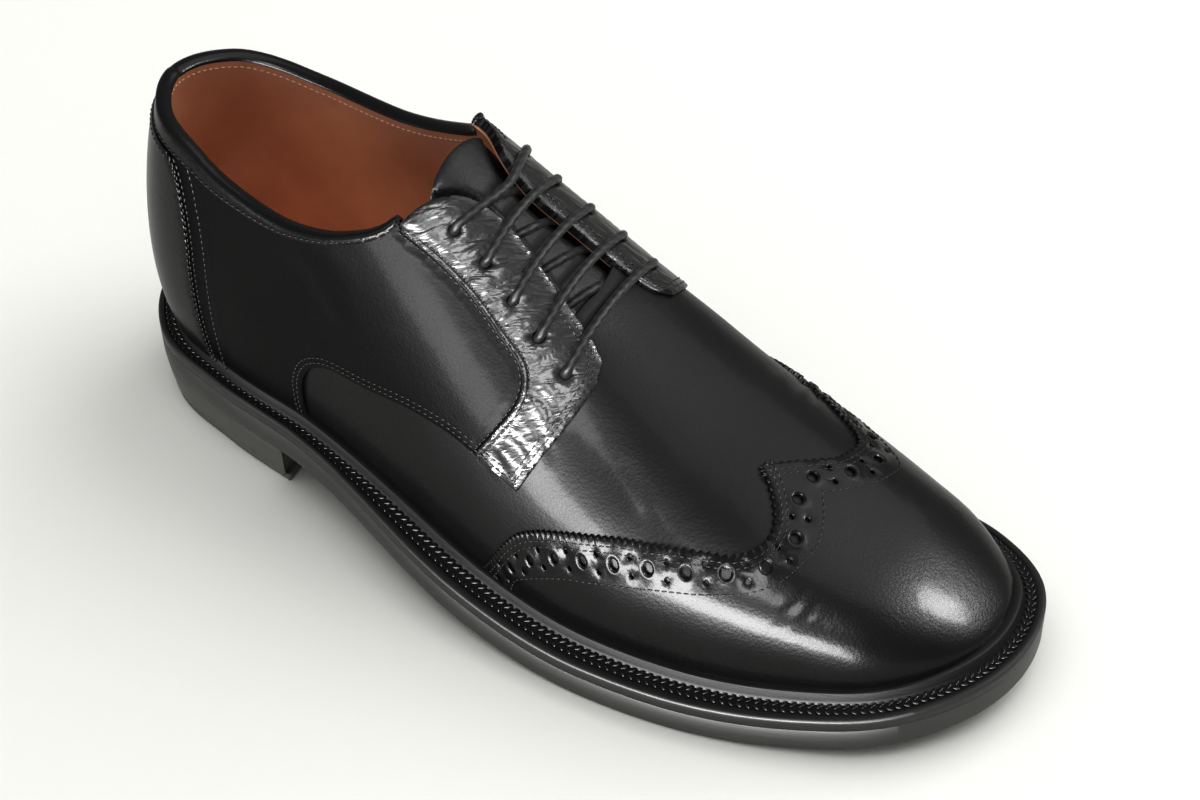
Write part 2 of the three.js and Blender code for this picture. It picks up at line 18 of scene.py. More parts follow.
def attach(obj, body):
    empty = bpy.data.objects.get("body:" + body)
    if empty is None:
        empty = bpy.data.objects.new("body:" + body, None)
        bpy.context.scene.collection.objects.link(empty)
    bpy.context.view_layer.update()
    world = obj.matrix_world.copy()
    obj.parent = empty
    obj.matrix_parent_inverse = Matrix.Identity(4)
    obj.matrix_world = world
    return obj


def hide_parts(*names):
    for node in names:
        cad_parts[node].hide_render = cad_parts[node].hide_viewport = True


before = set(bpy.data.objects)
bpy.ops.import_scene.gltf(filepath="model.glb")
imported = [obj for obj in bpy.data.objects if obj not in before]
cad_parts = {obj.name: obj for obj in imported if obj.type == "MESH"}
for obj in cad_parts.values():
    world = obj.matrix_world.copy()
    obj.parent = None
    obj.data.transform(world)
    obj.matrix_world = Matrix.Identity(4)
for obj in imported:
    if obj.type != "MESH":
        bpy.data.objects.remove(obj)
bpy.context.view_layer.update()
MM = 0.001

# %% [markdown]
# ## Camera
# The shoe is seen from its outer side, from in front and well above. A long lens from that same
# place fills the picture with the one shoe and keeps the photograph's perspective on it.

# %% Camera
CAMERA_AT = Vector((300.3, -445.3, 617.3)) * MM
LOOK_AT = Vector((7.4, 12.4, 45.0)) * MM
CAMERA_ROLL = math.radians(-1.57)
LENS = 79.7

camera = bpy.data.objects.new("camera", bpy.data.cameras.new("camera"))
bpy.context.scene.collection.objects.link(camera)
camera.data.lens = LENS
camera.location = CAMERA_AT
camera.rotation_mode = "QUATERNION"
aim = (LOOK_AT - CAMERA_AT).to_track_quat("-Z", "Y")
camera.rotation_quaternion = aim @ Quaternion((0, 0, 1), CAMERA_ROLL)
bpy.context.scene.camera = camera
print("camera", round((LOOK_AT - CAMERA_AT).length, 3), "m away")

# %% [markdown]
# ## Colours and nodes
# Colours are picked as sRGB hex values, the way a screen shows them, but shaders add up light, so
# each one is turned to linear first. One small helper adds a node, fills its sockets and links it.

# %% Colour and node helpers
def tint(hex_colour):
    """An sRGB hex value as linear RGBA."""
    channels = [int(hex_colour[i:i + 2], 16) / 255 for i in (1, 3, 5)]
    linear = [c / 12.92 if c <= 0.04045 else ((c + 0.055) / 1.055) ** 2.4 for c in channels]
    return (*linear, 1.0)


def add(tree, kind, values=None, links=None, **settings):
    """One node with its settings; values fill sockets and links join them to other outputs."""
    made = tree.nodes.new(kind)
    for name, value in settings.items():
        setattr(made, name, value)
    for name, value in (values or {}).items():
        made.inputs[name].default_value = value
    for name, source in (links or {}).items():
        tree.links.new(source, made.inputs[name])
    return made


def new_material(name):
    """An empty material: its node tree, and the output that a shader is linked to."""
    material = bpy.data.materials.new(name)
    material.use_nodes = True
    material.node_tree.nodes.clear()
    return material, material.node_tree


print("a screen's mid grey is", round(tint("#808080")[0], 3), "of white in light")

# %% [markdown]
# ## Floor and light
# A warm white paper floor and soft boxes. The highlights on black calf are the shapes of the
# boxes, so each box is placed where the leather mirrors it: a long low one at the outer side for
# the gleam on the forepart, one above the camera for the facing, a small one off the toe, and a
# very large dim one behind that greys the top of the vamp. One overhead brightens the paper and the
# lining, and is left out of the gloss. The picture is developed harder than it is lit.

# %% Floor
PAPER = "#f1f1ee"
FLOOR_HALF = 3.0


def paper_floor():
    material, tree = new_material("matt_paper")
    coords = add(tree, "ShaderNodeTexCoord")
    fibre = add(tree, "ShaderNodeTexNoise", {"Scale": 900.0, "Detail": 3.0},
                {"Vector": coords.outputs["Object"]})
    bump = add(tree, "ShaderNodeBump", {"Strength": 0.04, "Distance": 0.0002},
               {"Height": fibre.outputs["Fac"]})
    paper = add(tree, "ShaderNodeBsdfPrincipled",
                {"Base Color": tint(PAPER), "Roughness": 0.9, "Specular IOR Level": 0.0},
                {"Normal": bump.outputs["Normal"]})
    add(tree, "ShaderNodeOutputMaterial", None, {"Surface": paper.outputs["BSDF"]})
    mesh = bpy.data.meshes.new("floor")
    h = FLOOR_HALF
    mesh.from_pydata([(-h, -h, 0), (h, -h, 0), (h, h, 0), (-h, h, 0)], [], [(0, 1, 2, 3)])
    mesh.materials.append(material)
    floor = bpy.data.objects.new("floor", mesh)
    bpy.context.scene.collection.objects.link(floor)


paper_floor()
print("floor", 2 * FLOOR_HALF, "m across")

# %% Soft boxes
SHOE_CENTRE = Vector((0, 0, 0.05))
SOFT_BOXES = {
    # name: direction from the shoe, distance in metres, width, height, radiance, what it lights
    "outer_side": ((0.16, -0.97, 0.17), 1.5, 1.7, 0.50, 42.0, "gloss"),
    "front_top": ((0.36, -0.56, 0.74), 1.6, 0.60, 0.45, 20.0, "gloss"),
    "toe_side": ((0.75, 0.44, 0.50), 1.4, 0.20, 0.30, 58.0, "gloss"),
    "behind": ((0.35, 0.50, 0.79), 2.2, 2.2, 1.8, 1.9, "all"),
    "overhead": ((0.0, -0.1, 1.0), 2.5, 3.0, 3.0, 1.0, "paper"),
}
SKY = "#f4f4f2"
SKY_STRENGTH = 0.45

for name, (direction, distance, width, height, radiance, lit) in SOFT_BOXES.items():
    light = bpy.data.lights.new(name, "AREA")
    light.shape = "RECTANGLE"
    light.size = width
    light.size_y = height
    light.energy = 4 * width * height * radiance
    lamp = bpy.data.objects.new(name, light)
    bpy.context.scene.collection.objects.link(lamp)
    lamp.location = SHOE_CENTRE + Vector(direction).normalized() * distance
    lamp.rotation_euler = (SHOE_CENTRE - lamp.location).to_track_quat("-Z", "Y").to_euler()
    lamp.visible_diffuse = lit != "gloss"
    lamp.visible_glossy = lit != "paper"

world = bpy.data.worlds.new("studio")
world.use_nodes = True
bpy.context.scene.world = world
bpy.context.scene.view_settings.view_transform = "Standard"
bpy.context.scene.view_settings.gamma = 0.75
sky = world.node_tree.nodes["Background"]
sky.inputs["Color"].default_value = tint(SKY)
sky.inputs["Strength"].default_value = SKY_STRENGTH
print("soft boxes:", ", ".join(SOFT_BOXES))

# %% [markdown]
# ## The last
# Every panel of an upper is pulled over a last, so the last comes first. Its shape is a family of
# ribs: each one rises from the feather line, where the upper meets the welt, to the ridge of the
# instep. A few named sizes and short tables of shares describe it, the same as in the CAD model,
# so every finished piece lands on the solid that it stands for.

# %% Sizes of the last and the sole
LAST_LENGTH = 281.5
BALL_WIDTH = 94.0
INSTEP_HEIGHT = 129.5
COLLAR_HEIGHT = 115.5
TOE_SPRING = 8.8
OUTSOLE_THICK = 9.0
WELT_THICK = 4.2
WELT_REACH = 11.5
RIB_HEIGHT = 3.4
HEEL_LIFT = 15.6
TOP_PIECE_THICK = 3.2
HEEL_TAPER = 1.9
INSOLE_THICK = 4.5
WALL = 2.2
LINING_THICK = 0.85
LINING_OUT = -WALL + LINING_THICK
QUARTER_STEP = 1.4
OVERLAY_THICK = 1.3
TONGUE_THICK = 2.4
TONGUE_WIDTH = 50.0
THROAT_GAP = 25.0
EYELET_BORE = 3.0
LACE_THICK = 2.8
GAP = 0.3
HEEL_AXIS, BREAST_AT, TREAD_BACK, TREAD_FRONT, TOE_START = 0.117, 0.216, 0.65, 0.715, 0.873


def table(columns, *rows):
    """Rows of numbers as named columns."""
    return {name: np.array(values, float) for name, values in zip(columns.split(), zip(*rows))}


FEATHER = table(
    "along across",
    (1, .064), (.987, -.106), (.933, -.303), (.855, -.425), (.749, -.521), (.624, -.558),
    (.5, -.527), (.376, -.447), (.251, -.367), (.127, -.308), (.038, -.207), (0, 0), (.038, .213),
    (.127, .303), (.251, .287), (.376, .282), (.5, .34), (.624, .42), (.749, .441), (.855, .404),
    (.933, .34), (.985, .223),
)
SECTIONS = table(
    "along outBulge outWall outTop inBulge inWall inTop ridge",
    (.117, .074, .34, .73, .069, .62, .83, 1.205), (.234, .046, .32, .77, .072, .68, .89, 1.12),
    (.358, .048, .28, .74, .106, .8, .93, .99), (.465, .043, .34, .68, .112, .84, .95, .82),
    (.571, .052, .45, .64, .106, .82, .9, .65), (.678, .064, .61, .68, .083, .72, .78, .525),
    (.784, .066, .74, .72, .055, .65, .68, .436), (.873, .055, .78, .73, .034, .66, .66, .353),
)
BACK_RIB = {"Bulge": 0.165, "Wall": 0.2, "Top": 0.76}
MIDDLE = table(
    "along across",
    (.117, 0), (.358, .032), (.54, .032), (.713, .012), (.855, .032), (1, .064),
)
REACH = table(
    "along out in",
    (0, .83, .83), (.127, .65, .65), (.287, .74, .565), (.429, 1, .52), (.607, 1, .52),
    (.784, .957, .61), (1, .87, .87),
)
TOPLINE = table(
    "along out in",
    (-.2, 1, 1), (.01, 1, 1), (.038, 1.002, .968), (.084, .982, .927), (.145, .93, .896),
    (.216, .893, .895), (.269, .905, .91), (.315, .943, .945), (.34, .974, .978),
    (.354, 1.01, 1.02), (.362, 1.06, 1.07), (.365, 1.15, 1.15), (.368, 1.3, 1.3),
)
EYELETS = table(
    "along out in",
    (.404, .7, .7), (.44, .72, .7), (.476, .8, .76), (.51, .88, .84), (.545, .96, .88),
)

# %% Curves and heights
def lengthwise(share):
    return (np.asarray(share, float) - 0.5) * LAST_LENGTH


def share_of(x):
    return np.asarray(x, float) / LAST_LENGTH + 0.5


def follow(rows, column, share):
    """Smooth curve through one column of a table."""
    xs, ys = rows["along"], rows[column]
    at = np.clip(share, xs[0], xs[-1])
    k = np.arange(len(xs))
    ahead, behind = np.minimum(k + 1, len(xs) - 1), np.maximum(k - 1, 0)
    slopes = (ys[ahead] - ys[behind]) / (xs[ahead] - xs[behind])
    i = np.clip(np.searchsorted(xs, at) - 1, 0, len(xs) - 2)
    span, rise = xs[i + 1] - xs[i], ys[i + 1] - ys[i]
    t = (at - xs[i]) / span
    bends = (slopes[i] * span - rise) * (1 - t) + (rise - slopes[i + 1] * span) * t
    return ys[i] + t * rise + t * (1 - t) * bends


def smoothstep(x, low, high):
    t = np.clip((x - low) / (high - low), 0, 1)
    return t * t * (3 - 2 * t)

# %% Heights of the sole and the welt
def tread_height(x):
    ease = smoothstep(x, lengthwise(BREAST_AT), lengthwise(TREAD_BACK))
    run = lengthwise(1) + WELT_REACH - lengthwise(TREAD_FRONT)
    past = np.maximum(0, x - lengthwise(TREAD_FRONT)) / run
    return HEEL_LIFT * (1 - ease) + TOE_SPRING * past ** 2


def outsole_top(x):
    return tread_height(x) + OUTSOLE_THICK


def welt_top(x):
    return outsole_top(x) + WELT_THICK


def middle(x):
    return follow(MIDDLE, "across", share_of(x)) * BALL_WIDTH

# %% Even points and smooth curves
def even(points, spacing):
    """The same polyline with points at even steps of about the spacing."""
    points = np.asarray(points, float)
    steps = np.linalg.norm(np.diff(points, axis=0), axis=1)
    run = np.concatenate([[0], np.cumsum(steps)])
    count = max(int(round(run[-1] / spacing)), 1)
    at = np.linspace(0, run[-1], count + 1)
    return np.stack([np.interp(at, run, points[:, k]) for k in range(points.shape[1])], axis=1)


def smooth_curve(points, spacing, closed=False):
    """Centripetal Catmull-Rom curve through the points, in even steps."""
    pts = np.asarray(points, float)
    if closed:
        around = np.vstack([pts[-1:], pts, pts[:2]])
    else:
        around = np.vstack([2 * pts[:1] - pts[1:2], pts, 2 * pts[-1:] - pts[-2:-1]])
    t = np.linspace(0, 1, 24, endpoint=False)[:, None]
    fine = []
    for p0, p1, p2, p3 in zip(around, around[1:], around[2:], around[3:]):
        d0, d1, d2 = (max(np.linalg.norm(v), 1e-6) ** 0.5 for v in (p1 - p0, p2 - p1, p3 - p2))
        m1 = ((p1 - p0) / d0 - (p2 - p0) / (d0 + d1) + (p2 - p1) / d1) * d1
        m2 = ((p2 - p1) / d1 - (p3 - p1) / (d1 + d2) + (p3 - p2) / d2) * d1
        rise = p2 - p1
        fine.append(p1 + m1 * t + (3 * rise - 2 * m1 - m2) * t ** 2 + (m1 + m2 - 2 * rise) * t ** 3)
    fine.append(around[-2][None])
    return even(np.vstack(fine), spacing)


def outwards(outline):
    """Unit normals in plan of a closed outline, pointing out."""
    ahead, behind = np.roll(outline, -1, axis=0), np.roll(outline, 1, axis=0)
    step = ahead - behind
    normal = np.stack([-step[:, 1], step[:, 0]], axis=1)
    return normal / np.linalg.norm(normal, axis=1)[:, None]

# %% Feather line
def closed_points(points, count):
    rough = smooth_curve(points, 1.0, closed=True)
    length = np.linalg.norm(np.diff(rough, axis=0), axis=1).sum()
    return even(rough, length / count)[:-1]


feather = closed_points(
    np.stack([lengthwise(FEATHER["along"]), FEATHER["across"] * BALL_WIDTH], axis=1), 720)


def welt_reach(p):
    share = share_of(p[:, 0])
    lateral = p[:, 1] < middle(p[:, 0])
    return WELT_REACH * np.where(lateral, follow(REACH, "out", share), follow(REACH, "in", share))


if np.dot(outwards(feather)[0], [1, 0]) < 0:
    raise ValueError("the feather line runs the other way round")
sole_line = feather + outwards(feather) * welt_reach(feather)[:, None]
SHIFT = np.array([*(-(sole_line.min(0) + sole_line.max(0)) / 2), 0.0])
print("sole outline", np.round(sole_line.max(0) - sole_line.min(0), 1), "mm, shifted by", SHIFT)

# %% Ribs of the last
def reach_to(outline, origin, direction):
    """Distance from a point to a closed outline in one direction."""
    a, b = outline, np.roll(outline, -1, axis=0)
    edge, gap = b - a, a - origin
    turn = direction[0] * edge[:, 1] - direction[1] * edge[:, 0]
    turn = np.where(np.abs(turn) < 1e-12, 1e-12, turn)
    away = (gap[:, 0] * edge[:, 1] - gap[:, 1] * edge[:, 0]) / turn
    along = (gap[:, 0] * direction[1] - gap[:, 1] * direction[0]) / turn
    hit = (along >= 0) & (along <= 1) & (away > 0)
    return away[hit].max() if hit.any() else 0.0

# %% Ridge and ribs
TOE_ROUND = 2.6
LOW_TOE = 25.0


def ridge_height(x):
    """Height over the instep from the table, then a round fall to the toe."""
    start = float(lengthwise(TOE_START))
    high = float(follow(SECTIONS, "ridge", TOE_START)) * INSTEP_HEIGHT
    if x <= start:
        return float(follow(SECTIONS, "ridge", share_of(x))) * INSTEP_HEIGHT
    step = 0.001
    before = float(follow(SECTIONS, "ridge", TOE_START - step)) * INSTEP_HEIGHT
    fall = (high - before) / (step * LAST_LENGTH)
    crown = high + fall * (x - start) - welt_top(x)
    u = min(1.0, (x - start) / (float(lengthwise(1)) - start))
    return float(welt_top(x) + crown * math.sqrt(1 - u ** TOE_ROUND))


def rib(axis_x, direction):
    """Control points of one rib: a Bezier curve from the feather line to the ridge."""
    direction = np.asarray(direction, float)
    origin = np.array([axis_x, float(middle(axis_x))])
    reach = reach_to(feather, origin, direction)
    foot = origin + direction * reach
    foot_z = float(welt_top(foot[0]))
    side = "out" if direction[1] < 0 else "in"
    share = min(float(share_of(axis_x)), TOE_START)
    turned = abs(direction[0]) ** 1.5
    bulge, wall, top = (
        float(follow(SECTIONS, side + name, share)) * (1 - turned) + BACK_RIB[name] * turned
        for name in ("Bulge", "Wall", "Top")
    )
    ridge = ridge_height(axis_x)
    rise = max(ridge - foot_z, 0.0)
    lower = foot + direction * bulge * BALL_WIDTH * min(1.0, rise / LOW_TOE)
    upper = origin + direction * reach * top
    return np.array([
        [*foot, foot_z], [*lower, foot_z + wall * rise], [*upper, ridge], [*origin, ridge],
    ])


def bezier(control, shares):
    t = np.asarray(shares, float)[:, None]
    u = 1 - t
    return (control[0] * u ** 3 + control[1] * 3 * t * u ** 2
            + control[2] * 3 * t ** 2 * u + control[3] * t ** 3)


FINE_SHARES = np.linspace(0, 1, 240)


def rib_run(control):
    """Lengths along a rib at the fine shares."""
    steps = np.linalg.norm(np.diff(bezier(control, FINE_SHARES), axis=0), axis=1)
    return np.concatenate([[0], np.cumsum(steps)])

# %% [markdown]
# ## Flat charts of the last
# A panel is drawn flat and pulled over the last, as a clicker cuts it from the hide. Two charts do
# this here. The round chart runs round the heel from toe to toe, with heights measured up the
# ribs, for the quarters and the counter. The crown chart lies over the instep, with widths measured
# from the ridge, for the vamp, the wing cap and the tongue. Each turns flat points into points and
# normals on the last by cubic sampling of a fine grid.

# %% Charts
SIDE_RIBS = 170
FAN_RIBS = 64
RIB_POINTS = 72


def evenly(control):
    run = rib_run(control)
    if run[-1] < 1e-6:
        return bezier(control, np.linspace(0, 1, RIB_POINTS))
    return bezier(control, np.interp(np.linspace(0, run[-1], RIB_POINTS), run, FINE_SHARES))


def cubic_weights(f):
    return np.stack([((2 - f) * f - 1) * f, (3 * f - 5) * f * f + 2,
                     ((4 - 3 * f) * f + 1) * f, (f - 1) * f * f]) / 2


def sample(grid, i, j):
    """Smooth value of a grid between its points."""
    n, m = grid.shape[:2]
    i0, j0 = np.clip(np.floor(i), 0, n - 2).astype(int), np.clip(np.floor(j), 0, m - 2).astype(int)
    wi, wj = cubic_weights(np.clip(i - i0, 0, 1)), cubic_weights(np.clip(j - j0, 0, 1))
    total = np.zeros((len(i0), grid.shape[2]))
    for a in range(4):
        for b in range(4):
            near = grid[np.clip(i0 + a - 1, 0, n - 1), np.clip(j0 + b - 1, 0, m - 1)]
            total += (wi[a] * wj[b])[:, None] * near
    return total

# %% Chart
class Chart:
    """A sheet of the last: columns of points at flat places along, with a base row at up = 0."""

    def __init__(self, grid, along, low, high, base):
        self.grid, self.along, self.low, self.high, self.base = grid, along, low, high, base
        normal = np.cross(np.gradient(grid, axis=0), np.gradient(grid, axis=1))
        size = np.linalg.norm(normal, axis=2, keepdims=True)
        normal /= np.maximum(size, 1e-9)
        for end, near in ((0, 1), (-1, -2)):
            if np.ptp(grid[end], axis=0).max() < 1e-3:
                normal[end] = normal[near]
        self.normals = normal * np.sign(np.median(normal[:, -1, 2] + normal[:, base, 2]))

    def at(self, flat):
        """Points and outward normals at flat places (along, up)."""
        flat = np.asarray(flat, float)
        i = np.interp(flat[:, 0], self.along, np.arange(len(self.along)))
        low = np.interp(i, np.arange(len(self.low)), self.low)
        high = np.interp(i, np.arange(len(self.high)), self.high)
        below = flat[:, 1] < 0
        j = np.where(below, self.base * (1 + flat[:, 1] / np.maximum(low, 1e-6)),
                     self.base + (RIB_POINTS - 1) * flat[:, 1] / np.maximum(high, 1e-6))
        j = np.clip(j, 0, self.grid.shape[1] - 1)
        points, normals = sample(self.grid, i, j), sample(self.normals, i, j)
        return points, normals / np.linalg.norm(normals, axis=1)[:, None]

# %% Crown chart and round chart
side_shares = np.sin(np.linspace(0, math.pi / 2, SIDE_RIBS + 1))
side_x = lengthwise(HEEL_AXIS + (1 - HEEL_AXIS) * side_shares)
lateral = [rib(x, (0, -1)) for x in side_x]
medial = [rib(x, (0, 1)) for x in side_x]
fan = [rib(float(side_x[0]), (-math.sin(a), -math.cos(a)))
       for a in np.linspace(0, math.pi, FAN_RIBS + 1)[1:-1]]

lateral_grid, medial_grid = (np.array([evenly(c) for c in ribs]) for ribs in (lateral, medial))
lateral_length, medial_length = (
    np.array([rib_run(c)[-1] for c in ribs]) for ribs in (lateral, medial))


def run_of(points):
    steps = np.linalg.norm(np.diff(points, axis=0), axis=1)
    return np.concatenate([[0], np.cumsum(steps)])


ridge_run = run_of(lateral_grid[:, -1])
crown = Chart(
    np.concatenate([lateral_grid, medial_grid[:, -2::-1]], axis=1),
    ridge_run, lateral_length, medial_length, RIB_POINTS - 1)

round_ribs = lateral[::-1] + fan + medial
round_grid = np.concatenate([lateral_grid[::-1], [evenly(c) for c in fan], medial_grid])
round_run = run_of(round_grid[:, 0])
round_length = np.array([rib_run(c)[-1] for c in round_ribs])
around = Chart(round_grid, round_run, round_length, round_length, 0)
heel_centre = round_run[SIDE_RIBS + FAN_RIBS // 2]
print("feather line", round(round_run[-1]), "mm, ridge", round(ridge_run[-1]), "mm")

# %% Places on the charts
def up_the_rib(x, up, side):
    """Length up a rib at a share of it, and the whole rib's length."""
    run = rib_run(rib(float(x), (0, side)))
    return float(np.interp(up, FINE_SHARES, run)), run[-1]


def round_along(x, side):
    if side < 0:
        return float(np.interp(x, side_x, round_run[:SIDE_RIBS + 1][::-1]))
    return float(np.interp(x, side_x, round_run[-SIDE_RIBS - 1:]))


def spot(along, up, side):
    """Flat place in the round chart of a share of the length and a share of the rib."""
    x = float(lengthwise(along))
    return np.array([round_along(x, side), up_the_rib(x, max(up, 0), side)[0]])


def crown_spot(along, up, side):
    """The same place in the crown chart."""
    x = float(lengthwise(along))
    rise, whole = up_the_rib(x, max(up, 0), side)
    return np.array([float(np.interp(x, side_x, ridge_run)), side * (whole - rise)])


def beside(along, away, side):
    """Share of the rib at a distance from the middle."""
    x = float(lengthwise(along))
    points = bezier(rib(x, (0, side)), FINE_SHARES)
    wide = np.abs(points[:, 1] - float(middle(x)))
    last_wide = int(np.nonzero(wide >= away)[0][-1])
    return float(FINE_SHARES[last_wide])

# %% Topline
def topline(drop):
    """Flat line in the round chart under the collar's top edge, by a drop in millimetres."""
    line = []
    for i, points in enumerate(round_grid):
        if share_of(points[-1, 0]) > 0.352:
            continue
        column = "out" if i < SIDE_RIBS + FAN_RIBS // 2 else "in"
        over = points[:, 2] - follow(TOPLINE, column, share_of(points[:, 0])) * COLLAR_HEIGHT
        j = int(np.argmax(over > 0))
        t = over[j - 1] / (over[j - 1] - over[j])
        up = (j - 1 + t) / (RIB_POINTS - 1) * round_length[i]
        line.append((round_run[i], up - drop))
    return np.array(line)


print("topline", len(topline(0)), "points, heel centre at", round(heel_centre, 1))

# %% [markdown]
# ## Creases
# Leather that has been worn or only tried on keeps soft folds. The main ones are given one by one:
# each is a short curve on the last with a depth and a width, a trough with a low ridge on either
# side. All layers that lie over a fold follow it, so they stay nested.

# %% Creases
CREASES = [
    # side, depth, width, then points (along, up) on the last
    (-1, .14, 2.2, (.625, .67), (.645, .65), (.665, .60), (.685, .52)),
    (-1, .45, 1.2, (.532, .59), (.545, .575), (.555, .56), (.562, .53)),
    (-1, .40, 1.1, (.540, .66), (.552, .62), (.560, .59)),
    (-1, .50, 1.3, (.520, .66), (.535, .65), (.548, .64)),
    (-1, .60, 1.7, (.511, .49), (.528, .49), (.543, .48)),
    (-1, .55, 1.5, (.503, .43), (.515, .42), (.525, .41)),
    (-1, .35, 1.3, (.378, .76), (.395, .81), (.409, .88)),
    (-1, .40, 1.2, (.402, .74), (.417, .79), (.427, .86)),
    (-1, .45, 1.3, (.424, .72), (.439, .79), (.453, .87)),
    (-1, .40, 1.2, (.446, .71), (.461, .79), (.476, .88)),
    (-1, .45, 1.4, (.471, .69), (.485, .78), (.498, .86)),
    (-1, .40, 1.2, (.493, .69), (.508, .76), (.518, .85)),
    (-1, .32, 3.6, (.240, .475), (.285, .44), (.318, .40)),
    (-1, .22, 3.2, (.262, .495), (.318, .475)),
    (-1, .30, 1.0, (.820, .39), (.834, .51), (.839, .61)),
    (-1, .25, 0.9, (.837, .37), (.848, .47), (.853, .56)),
    (1, .45, 1.3, (.726, .74), (.715, .60), (.708, .46), (.704, .30)),
    (1, .40, 1.2, (.741, .71), (.733, .56), (.724, .40), (.720, .30)),
    (1, .35, 1.4, (.700, .78), (.690, .62), (.684, .50)),
    (1, .50, 2.0, (.440, .36), (.480, .41), (.515, .42)),
    (1, .45, 1.8, (.450, .30), (.490, .35), (.525, .36)),
    (1, .40, 2.4, (.330, .45), (.345, .34), (.350, .25)),
]


def on_last(along, up, side):
    return bezier(rib(float(lengthwise(along)), (0, side)), [max(up, 0)])[0]


def crease_line(side, points):
    return smooth_curve([on_last(along, up, side) for along, up in points], 0.5)

# %% Crease depths
crease_lines = [
    (depth, width, crease_line(side, points)) for side, depth, width, *points in CREASES]


def relief(points):
    """Height in millimetres that the creases add at points of the last."""
    height = np.zeros(len(points))
    for depth, width, line in crease_lines:
        reach = width * 4
        near = np.all((points > line.min(0) - reach) & (points < line.max(0) + reach), axis=1)
        if not near.any():
            continue
        gaps = np.linalg.norm(points[near][:, None] - line[None], axis=2)
        nearest = gaps.argmin(axis=1)
        away = gaps.min(axis=1) / width
        fade = np.sin(math.pi * (nearest + 0.5) / len(line)) ** 0.7
        trough = np.exp(-away ** 2) - 0.5 * np.exp(-(away - 1.9) ** 2)
        height[near] -= depth * fade * trough
    return height


print(len(CREASES), "creases")

# %% [markdown]
# ## Making a panel
# A cut panel is a flat outline with holes, filled with small triangles by Delaunay triangulation,
# laid on the last, and given its real thickness with side walls along every edge. The rim is
# lowered a little against the surface just inside it, so a cut edge looks skived and catches light.

# %% Mesh helpers
SHARP_ANGLE = math.radians(48)


def object_from(name, points, faces, material, flat=None):
    """A mesh object from millimetre points in the last's own place."""
    mesh = bpy.data.meshes.new(name)
    mesh.from_pydata(((points + SHIFT) * MM).tolist(), [], [tuple(map(int, f)) for f in faces])
    if flat is not None:
        layer = mesh.uv_layers.new(name="flat")
        corner = np.empty(len(mesh.loops), int)
        mesh.loops.foreach_get("vertex_index", corner)
        layer.data.foreach_set("uv", (flat[corner] * MM).ravel())
    mesh.shade_smooth()
    mesh.set_sharp_from_angle(angle=SHARP_ANGLE)
    mesh.materials.append(material)
    made = bpy.data.objects.new(name, mesh)
    bpy.context.scene.collection.objects.link(made)
    return made


def seat(piece, slot, *nodes):
    """The piece stays with the shoe and stands for CAD nodes; the slot is not used."""
    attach(piece, "root")
    if nodes:
        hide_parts(*nodes)
    triangles = sum(len(p.vertices) - 2 for p in piece.data.polygons)
    print(f"{piece.name}: {triangles} triangles")
    return piece

# %% Tests on flat points
def inside(points, loop, chunk=1500):
    """Which flat points lie inside a closed loop."""
    a, b = loop, np.roll(loop, -1, axis=0)
    rise = np.where(b[:, 1] == a[:, 1], 1e-9, b[:, 1] - a[:, 1])
    found = []
    for k in range(0, len(points), chunk):
        x, y = points[k:k + chunk, :1], points[k:k + chunk, 1:]
        crosses = (a[:, 1] > y) != (b[:, 1] > y)
        at = a[:, 0] + (y - a[:, 1]) / rise * (b[:, 0] - a[:, 0])
        found.append((crosses & (x < at)).sum(axis=1) % 2 == 1)
    return np.concatenate(found)


def nearest_gap(points, others, chunk=1500):
    return np.concatenate([
        np.linalg.norm(points[k:k + chunk, None] - others[None], axis=2).min(axis=1)
        for k in range(0, len(points), chunk)])

# %% Offsets of flat lines
def turning(loop):
    """1 for a loop that runs anticlockwise, -1 for clockwise."""
    nxt = np.roll(loop, -1, axis=0)
    return 1 if (loop[:, 0] * nxt[:, 1] - nxt[:, 0] * loop[:, 1]).sum() > 0 else -1


def offset_loop(loop, distance):
    """Points to the left of an anticlockwise loop's edge, inside it."""
    step = np.roll(loop, -1, axis=0) - np.roll(loop, 1, axis=0)
    left = np.stack([-step[:, 1], step[:, 0]], axis=1) * turning(loop)
    return loop + left / np.maximum(np.linalg.norm(left, axis=1), 1e-9)[:, None] * distance


def left_of(line):
    """Unit directions to the left of an open flat line."""
    step = np.gradient(line, axis=0)
    left = np.stack([-step[:, 1], step[:, 0]], axis=1)
    return left / np.linalg.norm(left, axis=1)[:, None]


def offset_line(line, distance):
    """An open flat line moved to its left, by one distance or one for each point."""
    return line + left_of(line) * np.reshape(distance, (-1, 1))

# %% Filling a flat outline
def hex_grid(low, high, spacing):
    rows = np.arange(low[1], high[1], spacing * 0.866)
    columns = np.arange(low[0], high[0], spacing)
    xs, ys = np.meshgrid(columns, rows)
    xs = xs + spacing / 2 * (np.arange(len(rows)) % 2)[:, None]
    return np.stack([xs.ravel(), ys.ravel()], axis=1)


